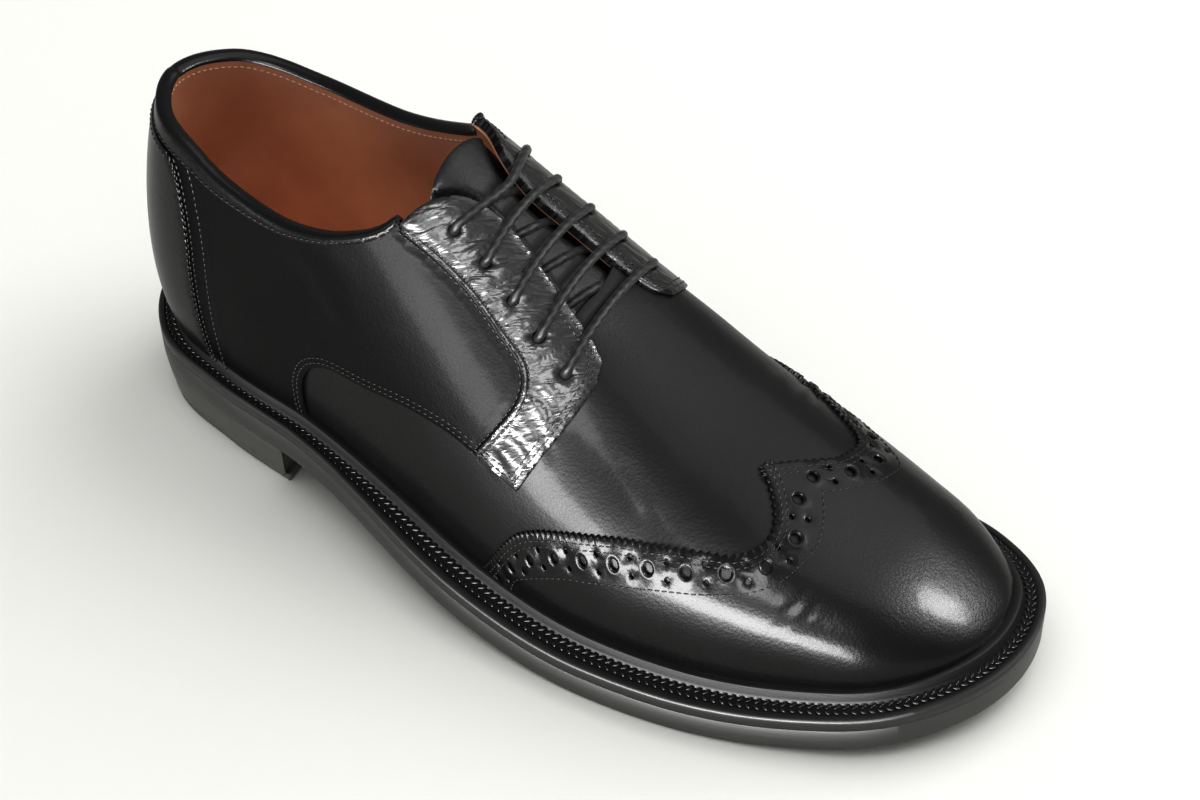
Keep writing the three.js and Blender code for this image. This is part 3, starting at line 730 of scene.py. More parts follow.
def fill_flat(loops, spacing, rim, extra=()):
    """Flat points and triangles inside the first loop and outside the others."""
    outer = loops[0]
    insets = [offset_loop(outer, rim)] + [offset_loop(hole, -rim) for hole in loops[1:]]
    marks = np.vstack([*insets, *extra])
    edge_points = np.vstack(loops)
    marks = marks[inside(marks, outer) & (nearest_gap(marks, edge_points) > rim * 0.7)]
    field = hex_grid(outer.min(0), outer.max(0), spacing)
    field = field[inside(field, outer)]
    taken = np.vstack([edge_points, marks])
    field = field[nearest_gap(field, taken) > spacing * 0.7]
    points = np.vstack([edge_points, marks, field])
    edges, start = [], 0
    for loop in loops:
        edges += [(start + k, start + (k + 1) % len(loop)) for k in range(len(loop))]
        start += len(loop)
    flat, _, triangles = delaunay_2d_cdt([Vector(p) for p in points], edges, [], 0, 1e-4)[:3]
    flat, triangles = np.array([tuple(p) for p in flat]), np.array(triangles)
    centre = flat[triangles].mean(axis=1)
    keep = inside(centre, outer)
    for hole in loops[1:]:
        low, high = hole.min(0), hole.max(0)
        close = np.all((centre > low) & (centre < high), axis=1)
        keep[close] &= ~inside(centre[close], hole)
    triangles = triangles[keep]
    used = np.unique(triangles)
    renumber = np.zeros(len(flat), int)
    renumber[used] = np.arange(len(used))
    return flat[used], renumber[triangles]

# %% Panels
def boundary(triangles):
    """Directed edges that only one triangle has."""
    pairs = np.vstack([triangles[:, [0, 1]], triangles[:, [1, 2]], triangles[:, [2, 0]]])
    key = {tuple(pair) for pair in pairs.tolist()}
    return np.array([pair for pair in key if pair[::-1] not in key])


def walled(top, bottom, triangles, rims):
    """Closed form from a top and a bottom that share their triangles."""
    n = len(top)
    a, b = rims[:, 0], rims[:, 1]
    walls = np.vstack([np.stack([b, a, a + n], axis=1), np.stack([b, a + n, b + n], axis=1)])
    return np.vstack([top, bottom]), np.vstack([triangles, triangles[:, ::-1] + n, walls])


SKIVE = 0.45


def panel(name, material, chart, outline, bottom, top, holes=(), spacing=1.8, rim=SKIVE,
          extra=(), shape=None):
    """A leather panel: its outline and holes are flat in a chart, its faces at two heights."""
    flat, triangles = fill_flat([outline, *holes], spacing, rim, extra)
    bottom = bottom(flat) if callable(bottom) else np.full(len(flat), bottom, float)
    points, normals = chart.at(flat)
    rims = boundary(triangles)
    height = relief(points) + (shape(flat, points) if shape else 0)
    skived = np.full(len(flat), top, float)
    skived[np.unique(rims)] -= min(rim, top - bottom.max()) * 0.7
    upper_face = points + normals * (skived + height)[:, None]
    lower_face = points + normals * (bottom + height)[:, None]
    a, b, c = (upper_face[triangles[:, k]] for k in range(3))
    facing = np.einsum("ij,ij->i", np.cross(b - a, c - a), normals[triangles[:, 0]])
    if np.median(facing) < 0:
        triangles, rims = triangles[:, ::-1], rims[:, ::-1]
    verts, faces = walled(upper_face, lower_face, triangles, rims)
    return object_from(name, verts, faces, material, np.vstack([flat, flat]))

# %% Outlines
def circle(centre, radius, steps=14):
    turn = np.linspace(0, 2 * math.pi, steps, endpoint=False)
    return centre + radius * np.stack([np.cos(turn), np.sin(turn)], axis=1)


def pinked(line, pitch, depth):
    """A gimped edge: teeth to the left of the line."""
    line = even(line, pitch / 8)
    return offset_line(line, depth * np.abs(np.sin(math.pi * run_of(line) / pitch)))


def joined(*lines):
    """One loop from lines laid end to end, without doubled corners."""
    loop = [lines[0]]
    for line in lines[1:]:
        loop.append(line[1:] if np.linalg.norm(line[0] - loop[-1][-1]) < 0.3 else line)
    loop = np.vstack(loop)
    return loop[:-1] if np.linalg.norm(loop[0] - loop[-1]) < 0.3 else loop

# %% [markdown]
# ## Leathers
# The upper is box calf, tanned, dyed black and polished with wax: a dark ground under a thin clear
# coat, with pores well under a millimetre and slow waves in the gloss. Its IOR is near 1.5 and its
# polished roughness about 0.3; the coat is sharper. The pores are drawn a little coarse, or they
# would not show at this distance.

# %% Calf
FOLD_ANGLE = math.radians(-142)


def calf(name, colour, worn, roughness, coat, specular=0.3, pore=0.9, pore_depth=0.035, wave=9.0,
         wave_depth=0.10, pucker=0.0):
    """Polished calf. Sizes are millimetres: pore and wave widths, and their depths."""
    material, tree = new_material(name)
    coords = add(tree, "ShaderNodeTexCoord").outputs["Object"]
    waves = add(tree, "ShaderNodeTexNoise", {"Scale": 1 / (wave * MM), "Detail": 2.0},
                {"Vector": coords})
    pores = add(tree, "ShaderNodeTexVoronoi", {"Scale": 1 / (pore * MM)}, {"Vector": coords})
    haze = add(tree, "ShaderNodeTexNoise", {"Scale": 1 / (28 * MM), "Detail": 4.0},
               {"Vector": coords})
    shade = add(tree, "ShaderNodeMix", {6: tint(colour), 7: tint(worn)},
                {0: haze.outputs["Fac"]}, data_type="RGBA")
    gloss = add(tree, "ShaderNodeMapRange", {3: roughness - 0.05, 4: roughness + 0.09},
                {0: haze.outputs["Fac"]})
    slow = add(tree, "ShaderNodeBump", {"Strength": 1.0, "Distance": wave_depth * MM},
               {"Height": waves.outputs["Fac"]})
    last_bump = slow
    if pucker:
        flat = add(tree, "ShaderNodeUVMap", uv_map="flat")
        turned = add(tree, "ShaderNodeVectorRotate", {"Angle": FOLD_ANGLE},
                     {"Vector": flat.outputs["UV"]}, rotation_type="Z_AXIS")
        drawn = add(tree, "ShaderNodeMapping",
                    {"Scale": (1 / (9 * MM), 1 / (2.6 * MM), 1)},
                    {"Vector": turned.outputs["Vector"]})
        folds = add(tree, "ShaderNodeTexNoise",
                    {"Scale": 1.0, "Detail": 2.0, "Distortion": 0.9},
                    {"Vector": drawn.outputs["Vector"]})
        last_bump = add(tree, "ShaderNodeBump", {"Strength": 1.0, "Distance": pucker * MM},
                        {"Height": folds.outputs["Fac"], "Normal": slow.outputs["Normal"]})
    fine = add(tree, "ShaderNodeBump", {"Strength": 1.0, "Distance": pore_depth * MM},
               {"Height": pores.outputs["Distance"], "Normal": last_bump.outputs["Normal"]})
    skin = add(tree, "ShaderNodeBsdfPrincipled",
               {"IOR": 1.5, "Specular IOR Level": specular, "Coat Weight": coat,
                "Coat Roughness": 0.14},
               {"Base Color": shade.outputs[2], "Roughness": gloss.outputs["Result"],
                "Normal": fine.outputs["Normal"], "Coat Normal": last_bump.outputs["Normal"]})
    add(tree, "ShaderNodeOutputMaterial", None, {"Surface": skin.outputs["BSDF"]})
    return material


polished_calf = calf("polished_black_calf", "#111112", "#1a1a1a", 0.32, 0.15, 0.2)
vamp_calf = calf("brushed_vamp_calf", "#131314", "#1c1c1c", 0.40, 0.10, 0.2)
quarter_calf = calf("brushed_quarter_calf", "#111112", "#1a1a1a", 0.44, 0.03, 0.09)
facing_calf = calf("glossy_facing_calf", "#161616", "#222222", 0.36, 0.25, 0.45, pore_depth=0.03,
                   wave=7.0, wave_depth=0.5, pucker=0.42)
print("leathers:", ", ".join(
    skin.name for skin in (polished_calf, vamp_calf, quarter_calf, facing_calf)))

# %% [markdown]
# ## Vamp
# The vamp covers the forepart and runs back under both quarters, down to the welt. Its back edge is
# hidden under them, apart from the stretch across the foot of the throat.

# %% Vamp
EDGE_STEP = 0.8
VAMP_BACK = [(.235, 0), (.232, .10), (.236, .20), (.29, .34), (.36, .44), (.44, .55), (.50, .68),
             (.525, .85), (.532, 1.0)]


def crown_foot(start):
    """The feather line in the crown chart, from a share of the length round the toe and back."""
    ahead = side_x >= lengthwise(start)
    out = np.stack([ridge_run, -lateral_length], axis=1)[ahead]
    back = np.stack([ridge_run, medial_length], axis=1)[ahead][::-1]
    return even(np.vstack([out, back[1:]]), EDGE_STEP)


def crown_line(side, places, spacing=EDGE_STEP):
    return smooth_curve([crown_spot(along, up, side) for along, up in places], spacing)


def vamp_loop(back):
    """The vamp's outline in the crown chart, for a back edge given as places."""
    return joined(crown_foot(back[0][0]), crown_line(1, back), crown_line(-1, back)[::-1])


vamp_outline = vamp_loop(VAMP_BACK)
vamp = panel("vamp", vamp_calf, crown, vamp_outline, -1.2, 0.0, spacing=1.9)
seat(vamp, "polished_calf", "upper")

# %% [markdown]
# ## Quarters
# Each quarter is one panel from the back of the heel to its facing. The outline climbs from the
# welt in the arched seam, follows the tab and the facing round its top corner, and comes back along
# the collar. Five lace holes are punched through it. Two close rows of stitches hold the facing's
# lining, and pull the leather into a double groove with a welted ridge between.

# %% Quarters
LOWER_EDGE = {
    -1: [(.2453, 0), (.2425, .07), (.2445, .14), (.2565, .20), (.2822, .25), (.3387, .30),
         (.4023, .355), (.4535, .385), (.4854, .39), (.5377, .385)],
    1: [(.2453, 0), (.2425, .07), (.246, .12), (.262, .155), (.30, .19), (.3519, .215),
        (.4268, .25), (.503, .31), (.552, .325)],
}
FRONT_EDGE = {
    -1: [(.5377, .385), (.5515, .50), (.565, .62), (.5725, .72), (.5745, .79)],
    1: [(.552, .325), (.564, .45), (.5747, .59), (.578, .68), (.5785, .76)],
}
THROAT_EDGE = {
    -1: [(.568, .60), (.5576, .53), (.55, .50), (.5227, .43), (.488, .355), (.4488, .262),
         (.4293, .268), (.4119, .315), (.3948, .42), (.3778, .60), (.3657, .76), (.3583, .88),
         (.353, .96)],
    1: [(.568, .60), (.5576, .53), (.55, .50), (.5227, .43), (.488, .355), (.4488, .262),
        (.4293, .268), (.4119, .315), (.3948, .42), (.3778, .56), (.3657, .66), (.3583, .69),
        (.3526, .67)],
}
FACING_SEAM = {
    -1: [(.3583, .71), (.400, .72), (.439, .72), (.4758, .70), (.5053, .68), (.5153, .64),
         (.5153, .58), (.5004, .47), (.485, .385)],
    1: [(.3568, .60), (.4218, .60), (.4687, .56), (.5057, .53), (.5227, .49), (.5178, .40),
        (.500, .31)],
}
RIM_DROP = 0.9
QUARTER_BASE = 0.08
TURNED_FROM, TURNED_FLAT, TURNED_SLOPE = 22.0, 1.5, 2.5

# %% Quarter outline
def round_line(side, places, spacing=EDGE_STEP):
    return smooth_curve([spot(along, up, side) for along, up in places], spacing)


def throat_line(side):
    """The facing's inner edge, from the tab up to the collar's corner."""
    line = round_line(side, [(along, beside(along, away * THROAT_GAP, side))
                             for along, away in THROAT_EDGE[side]])
    corner = topline(RIM_DROP)[0 if side < 0 else -1, 1] - 1.5
    above = np.nonzero(line[:, 1] > corner)[0]
    return line[:above[-1] + 1] if len(above) else line


def eyelet_places(side):
    away = EYELETS["out" if side < 0 else "in"] * THROAT_GAP
    return [spot(along, beside(along, gap, side), side)
            for along, gap in zip(EYELETS["along"], away)]


def quarter_outline(side, drop):
    front = joined(round_line(side, LOWER_EDGE[side]), round_line(side, FRONT_EDGE[side]),
                   throat_line(side))
    collar = topline(drop)
    half = collar[collar[:, 0] <= heel_centre] if side < 0 else collar[collar[:, 0] >= heel_centre]
    half = half if side < 0 else half[::-1]
    beyond = half[(half[:, 0] - front[-1, 0]) * -side > 1]
    collar = even(np.vstack([front[-1:], beyond]), EDGE_STEP)
    back = even([collar[-1], (heel_centre, 0)], EDGE_STEP)
    foot = even([(heel_centre, 0), front[0]], EDGE_STEP)
    return joined(front, collar, back, foot)

# %% Turned edge and facing seam
def turned_edge(side):
    """Underside of a quarter: beside the open throat it is turned down as far as the lining."""
    edge = throat_line(side)
    edge = edge[nearest_gap(edge, round_line(side, FRONT_EDGE[side])) > TURNED_FROM]

    def underside(flat):
        share = np.clip((nearest_gap(flat, edge) - TURNED_FLAT) / TURNED_SLOPE, 0, 1)
        return LINING_OUT + (QUARTER_BASE - LINING_OUT) * share
    return underside


def seam_rows(line, gap):
    """Two flat rows on either side of a seam, and rows between them for a fine surface."""
    return [offset_line(line, gap * k) for k in (-2, -1.5, -1, -.5, 0, .5, 1, 1.5, 2)]


SEAM_HALF = 1.25
GROOVE = 0.40


def seam_shape(line):
    """Double groove along a flat line, with a welt between the rows."""
    fine = even(line, 0.4)

    def shape(flat, points):
        height = np.zeros(len(flat))
        near = np.all((flat > fine.min(0) - 4) & (flat < fine.max(0) + 4), axis=1)
        away = nearest_gap(flat[near], fine)
        groove = np.exp(-((away - SEAM_HALF) / 0.45) ** 2)
        swell = np.exp(-((away - SEAM_HALF - 1.6) / 1.1) ** 2)
        height[near] = 0.12 * swell - GROOVE * groove
        return height
    return shape

# %% Facing finish
def facing_loop(side):
    """The flat outline of a facing: its seam, the tab's foot, and the front and throat edges."""
    seam = facing_seams[side]
    lower = round_line(side, LOWER_EDGE[side])
    foot = lower[np.linalg.norm(lower - seam[-1], axis=1).argmin():]
    return joined(seam, foot, round_line(side, FRONT_EDGE[side]), throat_line(side))


def finish_inside(made, material, loop):
    """Another finish on the faces that lie inside a flat loop."""
    made.data.materials.append(material)
    corners = np.zeros(len(made.data.loops) * 2)
    made.data.uv_layers["flat"].data.foreach_get("uv", corners)
    corners = corners.reshape(-1, 2) / MM
    starts = np.zeros(len(made.data.polygons), int)
    made.data.polygons.foreach_get("loop_start", starts)
    taken = inside(corners[starts], loop)
    made.data.polygons.foreach_set("material_index", taken.astype(np.int32))

# %% Two quarters
facing_seams = {side: round_line(side, FACING_SEAM[side], 0.6) for side in (-1, 1)}
SIDES = {-1: "lateral", 1: "medial"}
quarters = {}
for side, word in SIDES.items():
    holes = [circle(centre, EYELET_BORE / 2) for centre in eyelet_places(side)]
    quarters[side] = panel(
        f"quarter_{word}", quarter_calf, around, quarter_outline(side, RIM_DROP), turned_edge(side),
        QUARTER_STEP, holes, spacing=1.5,
        extra=seam_rows(facing_seams[side], SEAM_HALF / 2), shape=seam_shape(facing_seams[side]))
    finish_inside(quarters[side], facing_calf, facing_loop(side))
    seat(quarters[side], "polished_calf", "upper")

# %% [markdown]
# ## Wing cap
# The cap over the toe has two short wings and a peak. Its edge is gimped into small teeth, and the
# band inside the edge is punched: one large hole in a raised ring, then two small ones, again and
# again. The holes go right through the leather, so the dark vamp shows in them.

# %% Wing cap
WING_EDGE = [
    (.497, -.03, -1), (.508, .05, -1), (.5192, .114, -1), (.5311, .187, -1), (.5468, .257, -1),
    (.5662, .306, -1), (.5932, .353, -1), (.6195, .393, -1), (.6565, .448, -1), (.6821, .479, -1),
    (.7043, .512, -1), (.7373, .555, -1), (.7636, .591, -1), (.7765, .632, -1), (.7854, .701, -1),
    (.784, .768, -1), (.7735, .832, -1), (.7569, .889, -1), (.7424, .917, -1), (.763, .98, -1),
    (.7831, .943, 1), (.7959, .872, 1), (.8008, .72, 1), (.789, .64, 1), (.756, .56, 1),
    (.681, .42, 1), (.633, .31, 1), (.599, .23, 1), (.567, .14, 1), (.546, .05, 1),
    (.538, -.03, 1),
]
BAND_EDGE = [
    (.540, 0, -1), (.548, .09, -1), (.5607, .132, -1), (.6071, .225, -1), (.6336, .259, -1),
    (.6716, .306, -1), (.7073, .352, -1), (.7578, .417, -1), (.7925, .489, -1), (.8126, .577, -1),
    (.8226, .692, -1), (.8256, .785, -1), (.816, .887, -1), (.8028, .954, -1), (.8166, .992, 1),
    (.8283, .931, 1), (.8401, .807, 1), (.8415, .64, 1), (.815, .54, 1), (.765, .43, 1),
    (.700, .32, 1), (.655, .24, 1), (.625, .17, 1), (.600, .09, 1), (.588, 0, 1),
]
TOOTH_PITCH, TOOTH_DEPTH = 2.5, 0.8
BIG_PUNCH, SMALL_PUNCH, PUNCH_PITCH = 1.5, 0.8, 12.4
PAIR_REACH = 2.4
RING_RADIUS, RING_RISE, RING_HALF = 2.5, 0.22, 0.45
PEAK_OUT, PEAK_IN = 18, 13

# %% Wing lines
def split_line(places, corner):
    """A curve through places on the crown chart with one sharp corner."""
    spots = [crown_spot(along, max(up, 0), side) for along, up, side in places]
    return smooth_curve(spots[:corner + 1], 0.4), smooth_curve(spots[corner:], 0.4)


wing_out, wing_in = split_line(WING_EDGE, PEAK_OUT)
band_out, band_in = split_line(BAND_EDGE, PEAK_IN)


def along_foot(start, end):
    """The feather line in the crown chart between two flat places on it."""
    foot = crown_foot(0.3)
    first = np.linalg.norm(foot - start, axis=1).argmin()
    last = np.linalg.norm(foot - end, axis=1).argmin()
    return foot[min(first, last):max(first, last) + 1]

# %% Punched holes
def stretched(line, count):
    """The same line with another number of points."""
    at, known = np.linspace(0, 1, count) * (len(line) - 1), np.arange(len(line))
    return np.stack([np.interp(at, known, line[:, k]) for k in (0, 1)], axis=1)


def punches():
    """Flat hole centres and radii: large ones along the band's middle, small pairs between."""
    holes = []
    for outer, inner in ((wing_out, band_out), (wing_in, band_in)):
        edge, seam = stretched(outer, 60), stretched(inner, 60)
        centre = even(edge * 0.48 + seam * 0.52, PUNCH_PITCH / 2)
        left = left_of(centre)
        for k in range(1, len(centre) - 1):
            if k % 2:
                holes.append((centre[k], BIG_PUNCH))
            else:
                holes += [(centre[k] + left[k] * reach, SMALL_PUNCH)
                          for reach in (PAIR_REACH, -PAIR_REACH)]
    return holes

# %% Cut wing cap
wing_punches = punches()
wing_outline = joined(
    pinked(wing_out, TOOTH_PITCH, TOOTH_DEPTH),
    pinked(wing_in, TOOTH_PITCH, TOOTH_DEPTH),
    along_foot(wing_out[0], wing_in[-1])[::-1],
)
wing_holes = [circle(centre, radius, 12 if radius > 1 else 8) for centre, radius in wing_punches]
big_holes = np.array([centre for centre, radius in wing_punches if radius > 1])


def ringed(flat, points):
    """The punch presses a raised ring round each large hole."""
    away = nearest_gap(flat, big_holes)
    return RING_RISE * np.exp(-((away - RING_RADIUS) / RING_HALF) ** 2)


wing_cap = panel("wing_cap_leather", polished_calf, crown, wing_outline, 0.06, OVERLAY_THICK,
                 wing_holes, spacing=1.7, rim=0.35, shape=ringed,
                 extra=[circle(centre, radius, 16) for centre in big_holes
                        for radius in (RING_RADIUS - RING_HALF, RING_RADIUS,
                                       RING_RADIUS + RING_HALF)])
seat(wing_cap, "polished_calf", "wing_cap")
print(len(wing_holes), "punched holes")

# %% [markdown]
# ## Heel counter and collar band
# A patch stiffens the back of the heel. Its front edge is gimped and double stitched, and its top
# edge stops short of the collar, where a narrow band of folded leather runs all the way round. The
# band is widest at the heel and thins out towards the facings.

# %% Heel counter and collar band
COUNTER_EDGE = [(.099, .26), (.095, .36), (.092, .47), (.0915, .60), (.0915, .70), (.088, .79),
                (.080, .875), (.066, .925)]
COUNTER_DROP = 7.6
BAND_DROP_BACK, BAND_DROP_FRONT = 7.0, 2.6
BAND_THICK = 0.75

# %% Counter
def side_spot(along, up, side):
    """Flat place in the round chart of a point seen from the side; up is a share of the collar."""
    target = np.array([float(lengthwise(along)), up * COLLAR_HEIGHT])
    centre = SIDE_RIBS + FAN_RIBS // 2
    columns = slice(0, centre + 1) if side < 0 else slice(centre, len(round_grid))
    first = columns.start
    half = round_grid[columns][..., [0, 2]]
    i, j = np.unravel_index(np.linalg.norm(half - target, axis=2).argmin(), half.shape[:2])
    i, j = np.clip(i, 1, len(half) - 2), np.clip(j, 1, RIB_POINTS - 2)
    frame_ij = np.stack([half[i + 1, j] - half[i - 1, j], half[i, j + 1] - half[i, j - 1]], 1) / 2
    di, dj = np.linalg.solve(frame_ij, target - half[i, j])
    column = first + i + di
    length = np.interp(column, np.arange(len(round_length)), round_length)
    return np.array([np.interp(column, np.arange(len(round_run)), round_run),
                     (j + dj) / (RIB_POINTS - 1) * length])


def between(line, start, end):
    """The stretch of a line between two places along it."""
    return line[(line[:, 0] > start) & (line[:, 0] < end)]


counter_sides = {side: smooth_curve([side_spot(along, up, side) for along, up in COUNTER_EDGE], .4)
                 for side in (-1, 1)}
counter_top = between(topline(COUNTER_DROP), counter_sides[-1][-1, 0] + 3,
                      counter_sides[1][-1, 0] - 3)
counter_top = even(np.vstack([counter_sides[-1][-1:], counter_top, counter_sides[1][-1:]]), .6)
counter_outline = joined(
    pinked(counter_sides[-1], TOOTH_PITCH, TOOTH_DEPTH),
    counter_top,
    pinked(counter_sides[1][::-1], TOOTH_PITCH, TOOTH_DEPTH),
    even([counter_sides[1][0], (counter_sides[1][0, 0], 0)], .8),
    even([(counter_sides[1][0, 0], 0), (counter_sides[-1][0, 0], 0)], .8),
    even([(counter_sides[-1][0, 0], 0), counter_sides[-1][0]], .8),
)
COUNTER_BASE = QUARTER_STEP + 0.06
counter = panel("heel_counter_leather", polished_calf, around, counter_outline, COUNTER_BASE,
                COUNTER_BASE + OVERLAY_THICK, rim=0.35)
seat(counter, "polished_calf", "heel_counter")

# %% Collar band
def band_drop(line):
    """How far the band reaches below the topline, widest at the heel."""
    away = np.abs(line[:, 0] - heel_centre)
    return BAND_DROP_FRONT + (BAND_DROP_BACK - BAND_DROP_FRONT) * (1 - smoothstep(away, 15, 95))


band_top = topline(RIM_DROP)
band_low = band_top - np.stack([np.zeros(len(band_top)), band_drop(band_top)], axis=1)
band_outline = joined(even(band_top, .8), even([band_top[-1], band_low[-1]], .8),
                      even(band_low[::-1], .6), even([band_low[0], band_top[0]], .8))
collar_band = panel("collar_band", polished_calf, around, band_outline, QUARTER_STEP - 0.3,
                    QUARTER_STEP + BAND_THICK, spacing=1.5, rim=0.5)
seat(collar_band, "polished_calf")

# %% [markdown]
# ## Tongue
# The tongue is softer calf. It starts under the vamp, lies below the facings and ends in a round
# top above them. Under the facings it sinks a little, and the lace runs in the room that this
# leaves.

# %% Tongue
TONGUE = [(.600, .40), (.54, .45), (.45, .49), (.41, .50), (.390, .48), (.378, .40), (.371, .26),
          (.369, .02)]
THROAT = table(
    "along half",
    (.28, .95), (.34, .9), (.363, .74), (.378, .6), (.393, .42), (.411, .3), (.447, .27),
    (.486, .36), (.521, .44), (.55, .5), (.567, .58), (.585, .8),
)
LACED_FROM, LACED_TO = .385, .57
SINK = 2.7

soft_calf = calf("soft_black_calf", "#19191a", "#232324", 0.42, 0.08, pore=1.1, pore_depth=0.05,
                 wave=14.0, wave_depth=0.25)


def tongue_shape(flat, points):
    """Sinks under the facings, along the laced stretch."""
    share = share_of(points[:, 0])
    laced = smoothstep(share, LACED_FROM - .03, LACED_FROM) * (
        1 - smoothstep(share, LACED_TO, LACED_TO + .03))
    half = follow(THROAT, "half", share) * THROAT_GAP
    return -SINK * laced * smoothstep(np.abs(flat[:, 1]), half - 2.5, half + 1.0)

# %% Tongue panel
tongue_side = {side: smooth_curve(
    [crown_spot(along, beside(along, half * TONGUE_WIDTH, side), side) for along, half in TONGUE],
    .8) for side in (-1, 1)}
tongue_outline = joined(tongue_side[-1], tongue_side[1][::-1],
                        even([tongue_side[1][0], tongue_side[-1][0]], .8))
TONGUE_TOP = -WALL - GAP
tongue = panel("tongue_leather", soft_calf, crown, tongue_outline, TONGUE_TOP - TONGUE_THICK,
               TONGUE_TOP, spacing=1.8, rim=0.7, shape=tongue_shape)
seat(tongue, "soft_calf", "tongue")

# %% [markdown]
# ## Lining and binding
# The inside is lined with undyed tan calf, matt and slightly uneven where it was glued over the
# stiffener. The collar's raw edges are closed by a thin black binding, a flat oval in section.

# %% Lining and binding
LINING_SHORT = 0.35
VAMP_LINING_SHORT = 0.009
BINDING_UP = 1.15
BINDING_ACROSS = (WALL + QUARTER_STEP + BAND_THICK) / 2 + 0.15

# %% Lining leather
def tan_calf():
    """Vegetable tanned lining: matt, with soft stains where it was handled."""
    material, tree = new_material("tan_lining_calf")
    coords = add(tree, "ShaderNodeTexCoord").outputs["Object"]
    stain = add(tree, "ShaderNodeTexNoise", {"Scale": 1 / (45 * MM), "Detail": 4.0},
                {"Vector": coords})
    grain = add(tree, "ShaderNodeTexNoise", {"Scale": 1 / (1.4 * MM), "Detail": 3.0},
                {"Vector": coords})
    wave = add(tree, "ShaderNodeTexNoise", {"Scale": 1 / (16 * MM), "Detail": 2.0},
               {"Vector": coords})
    ramp = add(tree, "ShaderNodeValToRGB", None, {"Fac": stain.outputs["Fac"]})
    ramp.color_ramp.elements[0].position = 0.32
    ramp.color_ramp.elements[0].color = tint("#c48e70")
    ramp.color_ramp.elements[1].position = 0.68
    ramp.color_ramp.elements[1].color = tint("#e0ae8b")
    swell = add(tree, "ShaderNodeBump", {"Strength": 1.0, "Distance": 0.5 * MM},
                {"Height": wave.outputs["Fac"]})
    bump = add(tree, "ShaderNodeBump", {"Strength": 0.6, "Distance": 0.08 * MM},
               {"Height": grain.outputs["Fac"], "Normal": swell.outputs["Normal"]})
    skin = add(tree, "ShaderNodeBsdfPrincipled", {"Roughness": 0.55, "IOR": 1.45},
               {"Base Color": ramp.outputs["Color"], "Normal": bump.outputs["Normal"]})
    add(tree, "ShaderNodeOutputMaterial", None, {"Surface": skin.outputs["BSDF"]})
    return material


lining_calf = tan_calf()

# %% Linings
def lining_front(side):
    rise = round_line(side, [(.575, 0), (.575, .30), (.575, .60), (.5745, .78)])
    return joined(rise, offset_line(throat_line(side), LINING_SHORT * side))


lining_fronts = {side: lining_front(side) for side in (-1, 1)}
lining_collar = between(topline(RIM_DROP), lining_fronts[-1][-1, 0] + 1,
                        lining_fronts[1][-1, 0] - 1)
lining_outline = joined(
    lining_fronts[-1],
    even(np.vstack([lining_fronts[-1][-1:], lining_collar, lining_fronts[1][-1:]]), .8),
    lining_fronts[1][::-1],
    even([lining_fronts[1][0], lining_fronts[-1][0]], 1.0),
)
lining_holes = [circle(centre, EYELET_BORE / 2) for side in (-1, 1)
                for centre in eyelet_places(side)]
lining = panel("quarter_lining", lining_calf, around, lining_outline, -WALL, LINING_OUT,
               lining_holes, spacing=2.6)
seat(lining, "lining_leather", "upper")

lining_back = [(along + (VAMP_LINING_SHORT if up > 0.5 else 0), up) for along, up in VAMP_BACK]
vamp_lining = panel("vamp_lining", lining_calf, crown, vamp_loop(lining_back), -WALL - .05,
                    LINING_OUT - .05, spacing=3.2)
seat(vamp_lining, "lining_leather", "upper")

# %% Tube of oval section
def faced_out(made, joined_within=0.0):
    """Points closer than a distance in metres are joined, and the faces point outwards."""
    bm = bmesh.new()
    bm.from_mesh(made.data)
    if joined_within:
        bmesh.ops.remove_doubles(bm, verts=bm.verts, dist=joined_within)
    bmesh.ops.recalc_face_normals(bm, faces=bm.faces)
    bm.to_mesh(made.data)
    bm.free()
    return made


def oval_tube(name, material, path, across, up, half_across, half_up, steps=14):
    """A closed tube of oval section along a path; across and up are directions at each point."""
    turn = np.linspace(0, 2 * math.pi, steps, endpoint=False)
    taper = np.ones(len(path))
    taper[[0, -1]] = 0.3
    ring = (path[:, None]
            + across[:, None] * (np.cos(turn)[None, :, None] * half_across * taper[:, None, None])
            + up[:, None] * (np.sin(turn)[None, :, None] * half_up * taper[:, None, None]))
    points = ring.reshape(-1, 3)
    faces = []
    for k in range(len(path) - 1):
        for s in range(steps):
            a, b = k * steps + s, k * steps + (s + 1) % steps
            faces.append((a, b, b + steps, a + steps))
    faces.append(tuple(range(steps))[::-1])
    faces.append(tuple(range(len(points) - steps, len(points))))
    flat = np.stack([np.repeat(run_of(path), steps), np.tile(turn * half_up, len(path))], axis=1)
    return faced_out(object_from(name, points, faces, material, flat))

# %% Binding
corners = {side: throat_line(side)[-1] for side in (-1, 1)}
rim_flat = even(np.vstack([
    corners[-1], between(topline(BINDING_UP - 0.25), corners[-1][0] + 1, corners[1][0] - 1),
    corners[1]]), 1.0)
rim_points, rim_normals = around.at(rim_flat)
rim_along = np.gradient(rim_points, axis=0)
rim_up = np.cross(rim_along, rim_normals)
rim_up /= np.linalg.norm(rim_up, axis=1)[:, None]
rim_up *= np.sign(rim_up[:, 2:3])
rim_middle = rim_points + rim_normals * (QUARTER_STEP + BAND_THICK - WALL) / 2
binding = oval_tube("collar_binding", polished_calf, rim_middle, rim_normals, rim_up,
                    BINDING_ACROSS, BINDING_UP)
seat(binding, "polished_calf")

# %% [markdown]
# ## Sole, heel and sock
# These are slabs: one outline in plan, rings at a few levels that step in at the edges, and two
# filled faces. A ring's height is a function of the place along the shoe, so the same few lines
# give the arch, the toe spring and the flat heel.

